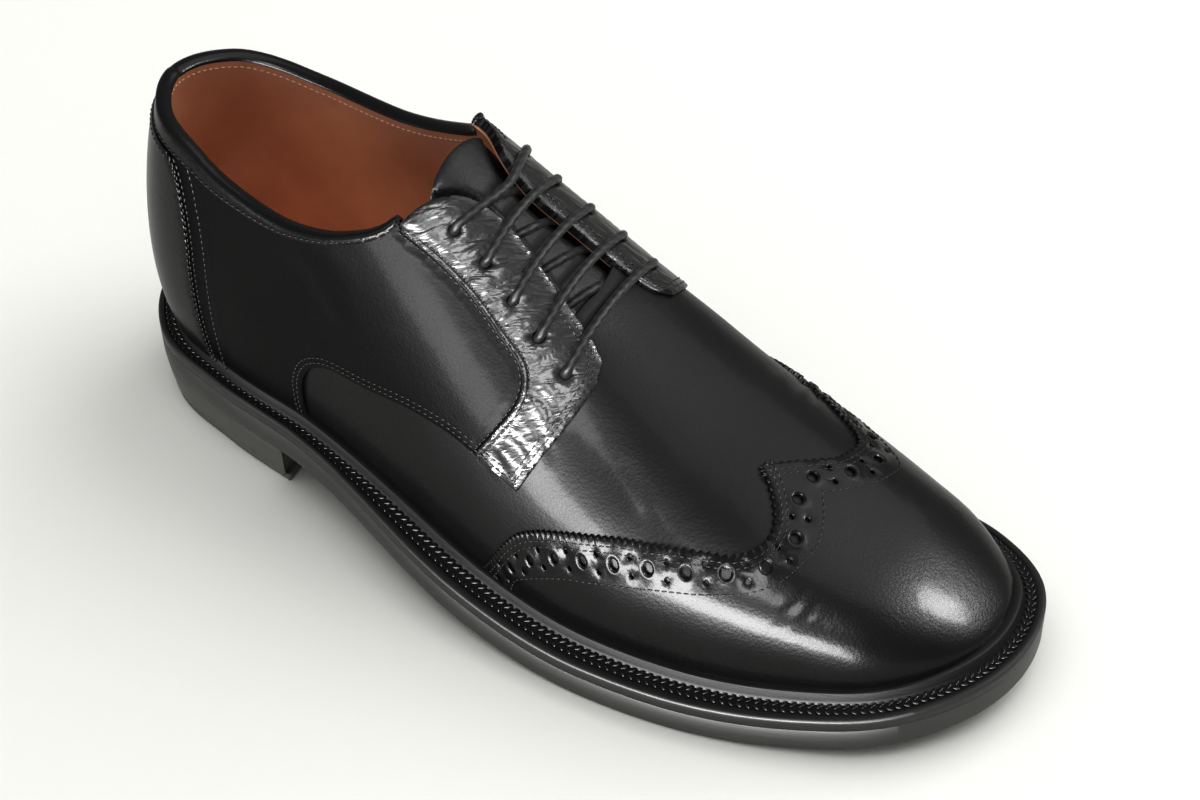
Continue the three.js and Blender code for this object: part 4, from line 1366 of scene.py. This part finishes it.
# %% Slabs
def slab(name, material, outline, levels, spacing=5.0):
    """Rings of (inset, height) up the side, closed below and above."""
    rings = []
    for inset, height in levels:
        ring = offset_loop(outline, inset)
        rings.append(np.column_stack([ring, height(ring[:, 0])]))
    n = len(outline)
    faces = []
    for k in range(len(rings) - 1):
        for s in range(n):
            a, b = k * n + s, k * n + (s + 1) % n
            faces.append((a, b, b + n, a + n))
    points = [np.vstack(rings)]
    count = n * len(rings)
    for ring, height, flip in ((rings[0], levels[0][1], True), (rings[-1], levels[-1][1], False)):
        flat, triangles = fill_flat([ring[:, :2]], spacing, 1.0)
        points.append(np.column_stack([flat, height(flat[:, 0])]))
        triangles = triangles + count
        faces += [tuple(t[::-1]) if flip else tuple(t) for t in triangles]
        count += len(flat)
    return welded(object_from(name, np.vstack(points), faces, material))


def welded(made):
    """Doubled points joined, then the sharp edges found again."""
    faced_out(made, 0.02 * MM)
    made.data.set_sharp_from_angle(angle=SHARP_ANGLE)
    return made


def level(height):
    return lambda x: np.full(len(x), float(height))


def lifted(height, lift):
    return lambda x: height(x) + lift

# %% [markdown]
# The sole's edge is leather, sanded, inked grey-green and waxed: satin, with the fibre showing as
# faint lines along it. The heel is a stack of the same leather under one colour, and the rubber top
# piece at the floor is matt and darker.

# %% Sole finishes
def dressed_edge(name, colour, worn, roughness, layer):
    """Waxed leather edge with fine lines at the layers' pitch in millimetres."""
    material, tree = new_material(name)
    coords = add(tree, "ShaderNodeTexCoord").outputs["Object"]
    stretched = add(tree, "ShaderNodeMapping", {"Scale": (60, 60, 1 / (layer * MM))},
                    {"Vector": coords})
    fibre = add(tree, "ShaderNodeTexNoise", {"Scale": 1.0, "Detail": 5.0},
                {"Vector": stretched.outputs["Vector"]})
    smear = add(tree, "ShaderNodeTexNoise", {"Scale": 1 / (22 * MM), "Detail": 4.0},
                {"Vector": coords})
    shade = add(tree, "ShaderNodeMix", {6: tint(colour), 7: tint(worn)},
                {0: smear.outputs["Fac"]}, data_type="RGBA")
    gloss = add(tree, "ShaderNodeMapRange", {3: roughness - .07, 4: roughness + .1},
                {0: fibre.outputs["Fac"]})
    bump = add(tree, "ShaderNodeBump", {"Strength": 0.7, "Distance": 0.05 * MM},
               {"Height": fibre.outputs["Fac"]})
    edge = add(tree, "ShaderNodeBsdfPrincipled", {"IOR": 1.5, "Coat Weight": 0.12,
                                                  "Coat Roughness": 0.3},
               {"Base Color": shade.outputs[2], "Roughness": gloss.outputs["Result"],
                "Normal": bump.outputs["Normal"]})
    add(tree, "ShaderNodeOutputMaterial", None, {"Surface": edge.outputs["BSDF"]})
    return material


inked_edge = dressed_edge("inked_sole_edge", "#2a2a28", "#3d3c37", 0.46, 0.9)
heel_edge = dressed_edge("inked_heel_stack", "#3d3d38", "#56554e", 0.48, 1.6)
top_rubber = dressed_edge("heel_rubber", "#151514", "#21211f", 0.75, 0.6)
welt_calf = dressed_edge("welt_leather", "#101010", "#1b1b1a", 0.45, 0.7)
print("edges:", ", ".join(m.name for m in (inked_edge, heel_edge, top_rubber, welt_calf)))

# %% Sole, heel and sock
outsole = slab("outsole_leather", inked_edge, sole_line, [
    (1.3, tread_height), (0.45, lifted(tread_height, .15)), (0.1, lifted(tread_height, .6)),
    (0.0, lifted(tread_height, 1.4)), (0.0, lifted(outsole_top, -.05)),
    (0.05, lifted(outsole_top, 0.0)),
])
seat(outsole, "sole_leather", "outsole")

# %% Heel
BREAST_HOLLOW = 2.2


def heel_outline(inset):
    """The sole's outline behind the breast, closed by a slightly hollow front."""
    line = offset_loop(sole_line, inset)
    breast = float(lengthwise(BREAST_AT))
    start = int(np.nonzero((line[:, 0] < breast) & (np.roll(line[:, 0], 1) >= breast))[0][0])
    back = np.roll(line, -start, axis=0)
    back = back[:int(np.nonzero(back[:, 0] >= breast)[0][0])]
    first, last = np.array([breast, back[0, 1]]), np.array([breast, back[-1, 1]])
    t = np.linspace(0, 1, 40)[:, None]
    front = last + (first - last) * t
    front[:, 0] -= BREAST_HOLLOW * np.sin(math.pi * t[:, 0])
    return even(np.vstack([back, front]), 0.9)[:-1]


heel = slab("heel_stack", heel_edge, heel_outline(0), [
    (HEEL_TAPER, level(TOP_PIECE_THICK + .05)), (HEEL_TAPER * .75, level(TOP_PIECE_THICK + .9)),
    (HEEL_TAPER * .55, level(TOP_PIECE_THICK + 4)), (HEEL_TAPER * .25, level(HEEL_LIFT - 4)),
    (0.15, level(HEEL_LIFT - .6)), (0.4, level(HEEL_LIFT - .05)),
], spacing=6.0)
seat(heel, "sole_leather", "heel_block")

top_piece = slab("heel_top_rubber", top_rubber, heel_outline(HEEL_TAPER), [
    (1.0, level(0)), (.35, level(.25)), (0.1, level(.8)), (0.1, level(TOP_PIECE_THICK - .5)),
    (0.35, level(TOP_PIECE_THICK - .05)),
], spacing=6.0)
seat(top_piece, "heel_rubber", "heel_top_piece")

# %% Sock
sock_outline = offset_loop(feather, WALL + GAP)[::2]
sock = slab("leather_sock", lining_calf, sock_outline, [
    (0.0, lifted(outsole_top, GAP)), (0.0, lifted(outsole_top, GAP + INSOLE_THICK - .8)),
    (0.6, lifted(outsole_top, GAP + INSOLE_THICK)),
], spacing=4.0)
seat(sock, "lining_leather", "insole")

# %% [markdown]
# ## Storm welt
# A strip of leather sewn round the shoe. Its inner edge is raised and leans on the upper to keep
# water out, then come two rows of braided stitches in a channel, and outside them a smooth band.
# It is one profile swept round the feather line.

# %% Storm welt
WELT_CREST = 2.1
CHANNEL_FROM = 3.7
CHANNEL_SHARE = 0.62
ROWS_AT = (0.17, 0.45)


def welt_ring(away, up):
    """Points round the feather line, at distances out from it and heights over the sole."""
    flat = feather + outwards(feather) * away[:, None]
    return np.column_stack([flat, outsole_top(flat[:, 0]) + GAP / 2 + up])


def welt_profile():
    reach = welt_reach(feather)
    band = reach - CHANNEL_FROM
    channel = CHANNEL_FROM + band * CHANNEL_SHARE
    one = np.ones(len(feather))
    top, crest = WELT_THICK, WELT_THICK + RIB_HEIGHT
    return [
        (-1.2 * one, 0.0), (reach - .05, 0.0), (reach, .05), (reach, top - 1.0),
        (reach - .25, top - .3), (reach - .85, top),
        (channel + .075 * band, top), (channel, top - .12), (channel - .35, top - .55),
        (CHANNEL_FROM + .25 * one, top - .55), (CHANNEL_FROM * one, top - .25),
        (CHANNEL_FROM * .93 * one, top + .9), (CHANNEL_FROM * .80 * one, crest - .9),
        (WELT_CREST * 1.3 * one, crest - .2), (WELT_CREST * one, crest),
        (WELT_CREST * .55 * one, crest - .15), (-1.2 * one, crest - .5),
    ]

# %% Swept welt
def swept_ring(name, material, rings):
    """Rings joined one to the next and the last to the first."""
    n, count = len(rings[0]), len(rings)
    points = np.vstack(rings)
    faces = []
    for k in range(count):
        for s in range(n):
            a, b = k * n + s, k * n + (s + 1) % n
            c, d = ((k + 1) % count) * n + (s + 1) % n, ((k + 1) % count) * n + s
            faces.append((a, b, c, d))
    return welded(object_from(name, points, faces, material))


welt = swept_ring("storm_welt", welt_calf, [welt_ring(away, up) for away, up in welt_profile()])
seat(welt, "welt_leather", "welt")

# %% [markdown]
# ## Stitches by Geometry Nodes
# Every seam is a line on the leather, and the stitches are the same small capsule again and again
# along it. A node tree does that: the seam's mesh becomes curves, the curves are cut to the stitch
# pitch, and a capsule is placed at each point, turned along the seam and laid flat on the leather.

# %% Stitch tree
def stitch_tree():
    tree = bpy.data.node_groups.new("stitch_row", "GeometryNodeTree")
    io = tree.interface
    io.new_socket("Seam", in_out="INPUT", socket_type="NodeSocketGeometry")
    for name in ("Pitch", "Length", "Thickness", "Slant"):
        io.new_socket(name, in_out="INPUT", socket_type="NodeSocketFloat")
    io.new_socket("Thread", in_out="INPUT", socket_type="NodeSocketMaterial")
    io.new_socket("Stitches", in_out="OUTPUT", socket_type="NodeSocketGeometry")
    given = add(tree, "NodeGroupInput").outputs
    seam = add(tree, "GeometryNodeMeshToCurve", None, {"Mesh": given["Seam"]})
    cut = add(tree, "GeometryNodeResampleCurve", None,
              {"Curve": seam.outputs["Curve"], "Length": given["Pitch"]}, mode="LENGTH")
    ball = add(tree, "GeometryNodeMeshUVSphere", {"Segments": 8, "Rings": 5, "Radius": 0.5})
    size = add(tree, "ShaderNodeCombineXYZ", None,
               {"X": given["Length"], "Y": given["Thickness"], "Z": given["Thickness"]})
    capsule = add(tree, "GeometryNodeTransform", None,
                  {"Geometry": ball.outputs["Mesh"], "Scale": size.outputs["Vector"]})
    normal = add(tree, "GeometryNodeInputNamedAttribute", {"Name": "leather_normal"},
                 data_type="FLOAT_VECTOR")
    scale = add(tree, "GeometryNodeInputNamedAttribute", {"Name": "stitch_size"},
                data_type="FLOAT")
    along = add(tree, "GeometryNodeInputTangent")
    flat = add(tree, "FunctionNodeAlignRotationToVector", None,
               {"Vector": normal.outputs["Attribute"]}, axis="Z")
    turned = add(tree, "FunctionNodeAlignRotationToVector", None,
                 {"Rotation": flat.outputs["Rotation"], "Vector": along.outputs["Tangent"]},
                 axis="X", pivot_axis="Z")
    lean = add(tree, "FunctionNodeAxisAngleToRotation", {"Axis": (0, 0, 1)},
               {"Angle": given["Slant"]})
    slanted = add(tree, "FunctionNodeRotateRotation", None,
                  {"Rotation": turned.outputs["Rotation"], "Rotate By": lean.outputs["Rotation"]},
                  rotation_space="LOCAL")
    placed = add(tree, "GeometryNodeInstanceOnPoints", None,
                 {"Points": cut.outputs["Curve"], "Instance": capsule.outputs["Geometry"],
                  "Rotation": slanted.outputs["Rotation"], "Scale": scale.outputs["Attribute"]})
    real = add(tree, "GeometryNodeRealizeInstances", None,
               {"Geometry": placed.outputs["Instances"]})
    smooth = add(tree, "GeometryNodeSetShadeSmooth", None, {"Geometry": real.outputs["Geometry"]})
    dyed = add(tree, "GeometryNodeSetMaterial", None,
               {"Geometry": smooth.outputs["Geometry"], "Material": given["Thread"]})
    add(tree, "NodeGroupOutput", None, {"Stitches": dyed.outputs["Geometry"]})
    return tree


stitches = stitch_tree()
print(stitches.name, "has", len(stitches.nodes), "nodes")

# %% Sewing a row
def sewn(name, material, rows, pitch, length, thickness, slant=0.0):
    """Stitches along rows of (points, normals, size), in millimetres, as one plain mesh."""
    points, normals, sizes, edges = [], [], [], []
    for row_points, row_normals, size in rows:
        start = sum(map(len, points))
        points.append(row_points)
        normals.append(row_normals)
        sizes.append(np.broadcast_to(size, len(row_points)))
        edges += [(start + k, start + k + 1) for k in range(len(row_points) - 1)]
    mesh = bpy.data.meshes.new(name + "_seam")
    mesh.from_pydata(((np.vstack(points) + SHIFT) * MM).tolist(), edges, [])
    mesh.attributes.new("leather_normal", "FLOAT_VECTOR", "POINT").data.foreach_set(
        "vector", np.vstack(normals).ravel())
    mesh.attributes.new("stitch_size", "FLOAT", "POINT").data.foreach_set(
        "value", np.concatenate(sizes).astype(np.float32))
    seam = bpy.data.objects.new(name + "_seam", mesh)
    bpy.context.scene.collection.objects.link(seam)
    modifier = seam.modifiers.new("stitches", "NODES")
    modifier.node_group = stitches
    values = {"Pitch": pitch * MM, "Length": length * MM, "Thickness": thickness * MM,
              "Slant": slant, "Thread": material}
    for item in stitches.interface.items_tree:
        if item.in_out == "INPUT" and item.name in values:
            modifier[item.identifier] = values[item.name]
    seam.update_tag()
    depsgraph = bpy.context.evaluated_depsgraph_get()
    made = bpy.data.objects.new(
        name, bpy.data.meshes.new_from_object(seam.evaluated_get(depsgraph)))
    bpy.data.objects.remove(seam)
    bpy.context.scene.collection.objects.link(made)
    return made

# %% Threads
def waxed_thread(name, colour, light, roughness):
    material, tree = new_material(name)
    coords = add(tree, "ShaderNodeTexCoord").outputs["Object"]
    twist = add(tree, "ShaderNodeTexNoise", {"Scale": 1 / (0.5 * MM), "Detail": 2.0},
                {"Vector": coords})
    shade = add(tree, "ShaderNodeMix", {6: tint(colour), 7: tint(light)},
                {0: twist.outputs["Fac"]}, data_type="RGBA")
    thread = add(tree, "ShaderNodeBsdfPrincipled", {"Roughness": roughness},
                 {"Base Color": shade.outputs[2]})
    add(tree, "ShaderNodeOutputMaterial", None, {"Surface": thread.outputs["BSDF"]})
    return material


black_thread = waxed_thread("waxed_black_thread", "#0c0c0c", "#1a1a1a", 0.45)
pale_thread = waxed_thread("pale_linen_thread", "#c79a78", "#e8cdb2", 0.7)
braid_thread = waxed_thread("braided_welt_thread", "#101010", "#232322", 0.38)
print("threads:", ", ".join(m.name for m in (black_thread, pale_thread, braid_thread)))

# %% Row on the leather
def row_on(chart, line, height, size=1.0):
    """A stitch row at a height over the last, following the creases."""
    line = even(line, 0.7)
    if chart is around:
        line = line[line[:, 1] < np.interp(line[:, 0], rim_flat[:, 0], rim_flat[:, 1]) - 1.2]
    points, normals = chart.at(line)
    lift = relief(points) + height
    return points + normals * lift[:, None], normals, size

# %% [markdown]
# The rows are set in from each cut edge by the stitcher's guide, about a millimetre and a half, and
# a second row runs beside the first where the seam carries a load.

# %% Rows of stitches
FIRST_ROW, SECOND_ROW, STAY_ROW = 1.7, 3.3, 8.5
STITCH_PITCH, STITCH_LENGTH, STITCH_THICK = 2.1, 1.75, 0.5
THREAD_LIFT = 0.02
quarter_high = QUARTER_STEP + THREAD_LIFT
counter_high = COUNTER_BASE + OVERLAY_THICK + THREAD_LIFT
wing_high = OVERLAY_THICK + THREAD_LIFT
rows = []
for side in (-1, 1):
    for gap in (-SEAM_HALF, SEAM_HALF):
        rows.append(row_on(around, offset_line(facing_seams[side], gap), QUARTER_STEP - .25))
    lower = joined(round_line(side, LOWER_EDGE[side]), round_line(side, FRONT_EDGE[side]),
                   throat_line(side))
    for gap in (FIRST_ROW, SECOND_ROW):
        rows.append(row_on(around, offset_line(lower, gap * side), quarter_high))
    for gap in (FIRST_ROW, SECOND_ROW, STAY_ROW):
        row = offset_line(counter_sides[side], gap * -side)
        order = np.argsort(counter_top[:, 0])
        limit = np.interp(row[:, 0], counter_top[order, 0], counter_top[order, 1])
        rows.append(row_on(around, row[row[:, 1] < limit - 1.0], counter_high))
for edge in (wing_out, wing_in):
    for gap in (-FIRST_ROW, -SECOND_ROW):
        rows.append(row_on(crown, offset_line(edge, gap), wing_high))
for edge in (band_out, band_in):
    rows.append(row_on(crown, edge, wing_high))
rows.append(row_on(around, counter_top - np.array([0, FIRST_ROW]), counter_high))
band_row = band_low[3:-3] + np.array([0, 1.0])
rows.append(row_on(around, band_row, QUARTER_STEP + BAND_THICK + THREAD_LIFT))
upper_stitches = sewn("upper_stitches", black_thread, rows, STITCH_PITCH, STITCH_LENGTH,
                      STITCH_THICK)
seat(upper_stitches, "polished_calf")

# %% Lining stitches
lining_row_points, lining_row_normals = around.at(even(topline(RIM_DROP + 3.0), 0.7))
lining_stitches = sewn(
    "lining_stitches", pale_thread,
    [(lining_row_points - lining_row_normals * (WALL + .02), -lining_row_normals, 1.0)],
    2.0, 1.5, 0.5)
seat(lining_stitches, "lining_leather")

# %% Welt braid
BRAID_PITCH, BRAID_LENGTH, BRAID_THICK = 2.5, 3.0, 1.15
BRAID_SLANT = math.radians(38)


def braid_row(share):
    reach = welt_reach(feather)
    away = CHANNEL_FROM + (reach - CHANNEL_FROM) * share
    points = welt_ring(away, WELT_THICK - .35)
    points = np.vstack([points, points[:1]])
    size = np.clip((reach - CHANNEL_FROM) / (WELT_REACH - CHANNEL_FROM), 0.35, 1.0)
    return points, np.tile([0.0, 0.0, 1.0], (len(points), 1)), np.append(size, size[0])


for number, (share, slant) in enumerate(zip(ROWS_AT, (BRAID_SLANT, -BRAID_SLANT)), 1):
    braid = sewn(f"welt_braid_{number}", braid_thread, [braid_row(share)], BRAID_PITCH,
                 BRAID_LENGTH, BRAID_THICK, slant)
    seat(braid, "welt_leather")

# %% [markdown]
# ## Lace
# One round waxed lace. On top it makes five straight bars; below, it runs on the slant from the
# outer eyelet of a row to the inner eyelet of the next. One end stops under the inner eyelet of the
# top row, the other under the outer eyelet of the lowest one, inside the shoe.

# %% Lace
BAR_LIFT = QUARTER_STEP + 0.15 + LACE_THICK / 2
UNDER_LIFT = -WALL - 0.15 - LACE_THICK / 2
TOP_SLACK = 4.5
TURN_BACK = 1.2
LACE_PULLED = 0.93


def over_last(along, away, side, height):
    """A point at a distance from the middle and a height off the last."""
    flat = crown_spot(along, beside(along, away, side), side)
    points, normals = crown.at([flat])
    return points[0] + normals[0] * height


def bar_points(row, slack):
    """From the outer eyelet over the throat to the inner one."""
    along = EYELETS["along"][row]
    edge = float(follow(THROAT, "half", along)) * THROAT_GAP + 2
    out, inn = EYELETS["out"][row] * THROAT_GAP, EYELETS["in"][row] * THROAT_GAP
    forward = slack / LAST_LENGTH
    return [
        over_last(along, out, -1, BAR_LIFT - .9),
        over_last(along, out - TURN_BACK, -1, BAR_LIFT),
        over_last(along + forward * .5, edge, -1, BAR_LIFT),
        over_last(along + forward, .5, 1, BAR_LIFT),
        over_last(along + forward * .5, edge, 1, BAR_LIFT),
        over_last(along, inn - TURN_BACK, 1, BAR_LIFT),
        over_last(along, inn, 1, BAR_LIFT - .9),
    ]

# %% Lace below the facings
def hidden_end(row, column, side, back):
    """The lace's end below an eyelet, under the facing."""
    along, away = EYELETS["along"][row], EYELETS[column][row] * THROAT_GAP
    return [
        over_last(along, away, side, UNDER_LIFT + .7),
        over_last(along - .006 * back, away + 1.0, side, UNDER_LIFT - .1),
        over_last(along - .022 * back, away + 3.0, side, UNDER_LIFT - .2),
    ]


def under_points(row, next_row):
    """From the outer eyelet of a row, below the facings, to the inner one of the next."""
    a, b = EYELETS["along"][row], EYELETS["along"][next_row]
    start, end = EYELETS["out"][row] * THROAT_GAP, EYELETS["in"][next_row] * THROAT_GAP
    edge = float(follow(THROAT, "half", (a + b) / 2)) * THROAT_GAP
    low = TONGUE_TOP + LACE_THICK / 2 + .1
    first, last = (start - edge) / (start + end), 1 - (end - edge) / (start + end)
    return [
        over_last(a, start, -1, UNDER_LIFT + .7),
        over_last(a + (b - a) * .06, start - TURN_BACK * 1.2, -1, UNDER_LIFT),
        over_last(a + (b - a) * first, edge + .5, -1, UNDER_LIFT + .2),
        over_last((a + b) / 2, .5, -1, low),
        over_last(a + (b - a) * last, edge + .5, 1, UNDER_LIFT + .2),
        over_last(a + (b - a) * .94, end - TURN_BACK * 1.2, 1, UNDER_LIFT),
        over_last(b, end, 1, UNDER_LIFT + .7),
    ]


def lace_path():
    """The whole run, from the top row's inner eyelet to the lowest row's outer one."""
    last = len(EYELETS["along"]) - 1
    path = hidden_end(0, "in", 1, 1)[::-1]
    for row in range(last + 1):
        path += bar_points(row, TOP_SLACK if row == 0 else 0)[::-1]
        if row < last:
            path += under_points(row, row + 1)
    path += hidden_end(last, "out", -1, -1)
    return smooth_curve(path, 1.0)

# %% Round tube
def round_tube(name, material, path, radius, steps=10):
    """A round tube along a path, its section carried along without twist."""
    tangent = np.gradient(path, axis=0)
    tangent /= np.linalg.norm(tangent, axis=1)[:, None]
    across = [np.cross(tangent[0], [0, 0, 1.0])]
    for t in tangent[1:]:
        side = across[-1] - t * np.dot(across[-1], t)
        across.append(side / np.linalg.norm(side))
    across = np.array(across)
    across[0] /= np.linalg.norm(across[0])
    up = np.cross(across, tangent)
    return oval_tube(name, material, path, across, up, radius, radius, steps)

# %% Lace in place
def waxed_lace():
    """Braided cotton lace, waxed: a fine plait pressed smooth, with painted shade in its grooves.
    """
    material, tree = new_material("waxed_cotton_lace")
    uv = add(tree, "ShaderNodeUVMap", uv_map="flat")
    plait = add(tree, "ShaderNodeTexWave", {"Scale": 1 / (0.9 * MM) / 6.283, "Distortion": 0.6},
                {"Vector": uv.outputs["UV"]}, bands_direction="DIAGONAL")
    bump = add(tree, "ShaderNodeBump", {"Strength": 0.8, "Distance": 0.12 * MM},
               {"Height": plait.outputs["Fac"]})
    # The colour follows the plait's height, so its grooves are darker: painted shade.
    shade = add(tree, "ShaderNodeMix", {6: tint("#0e0e0e"), 7: tint("#242424")},
                {0: plait.outputs["Fac"]}, data_type="RGBA")
    cotton = add(tree, "ShaderNodeBsdfPrincipled", {"Roughness": 0.5, "Sheen Weight": 0.15},
                 {"Base Color": shade.outputs[2], "Normal": bump.outputs["Normal"]})
    add(tree, "ShaderNodeOutputMaterial", None, {"Surface": cotton.outputs["BSDF"]})
    return material


lace_line = lace_path()
lace = round_tube("lace", waxed_lace(), lace_line, LACE_THICK / 2 * LACE_PULLED)
seat(lace, "waxed_lace", *[f"lace_bar_{n}" for n in range(1, 6)])
print("lace length", round(run_of(lace_line)[-1]), "mm")
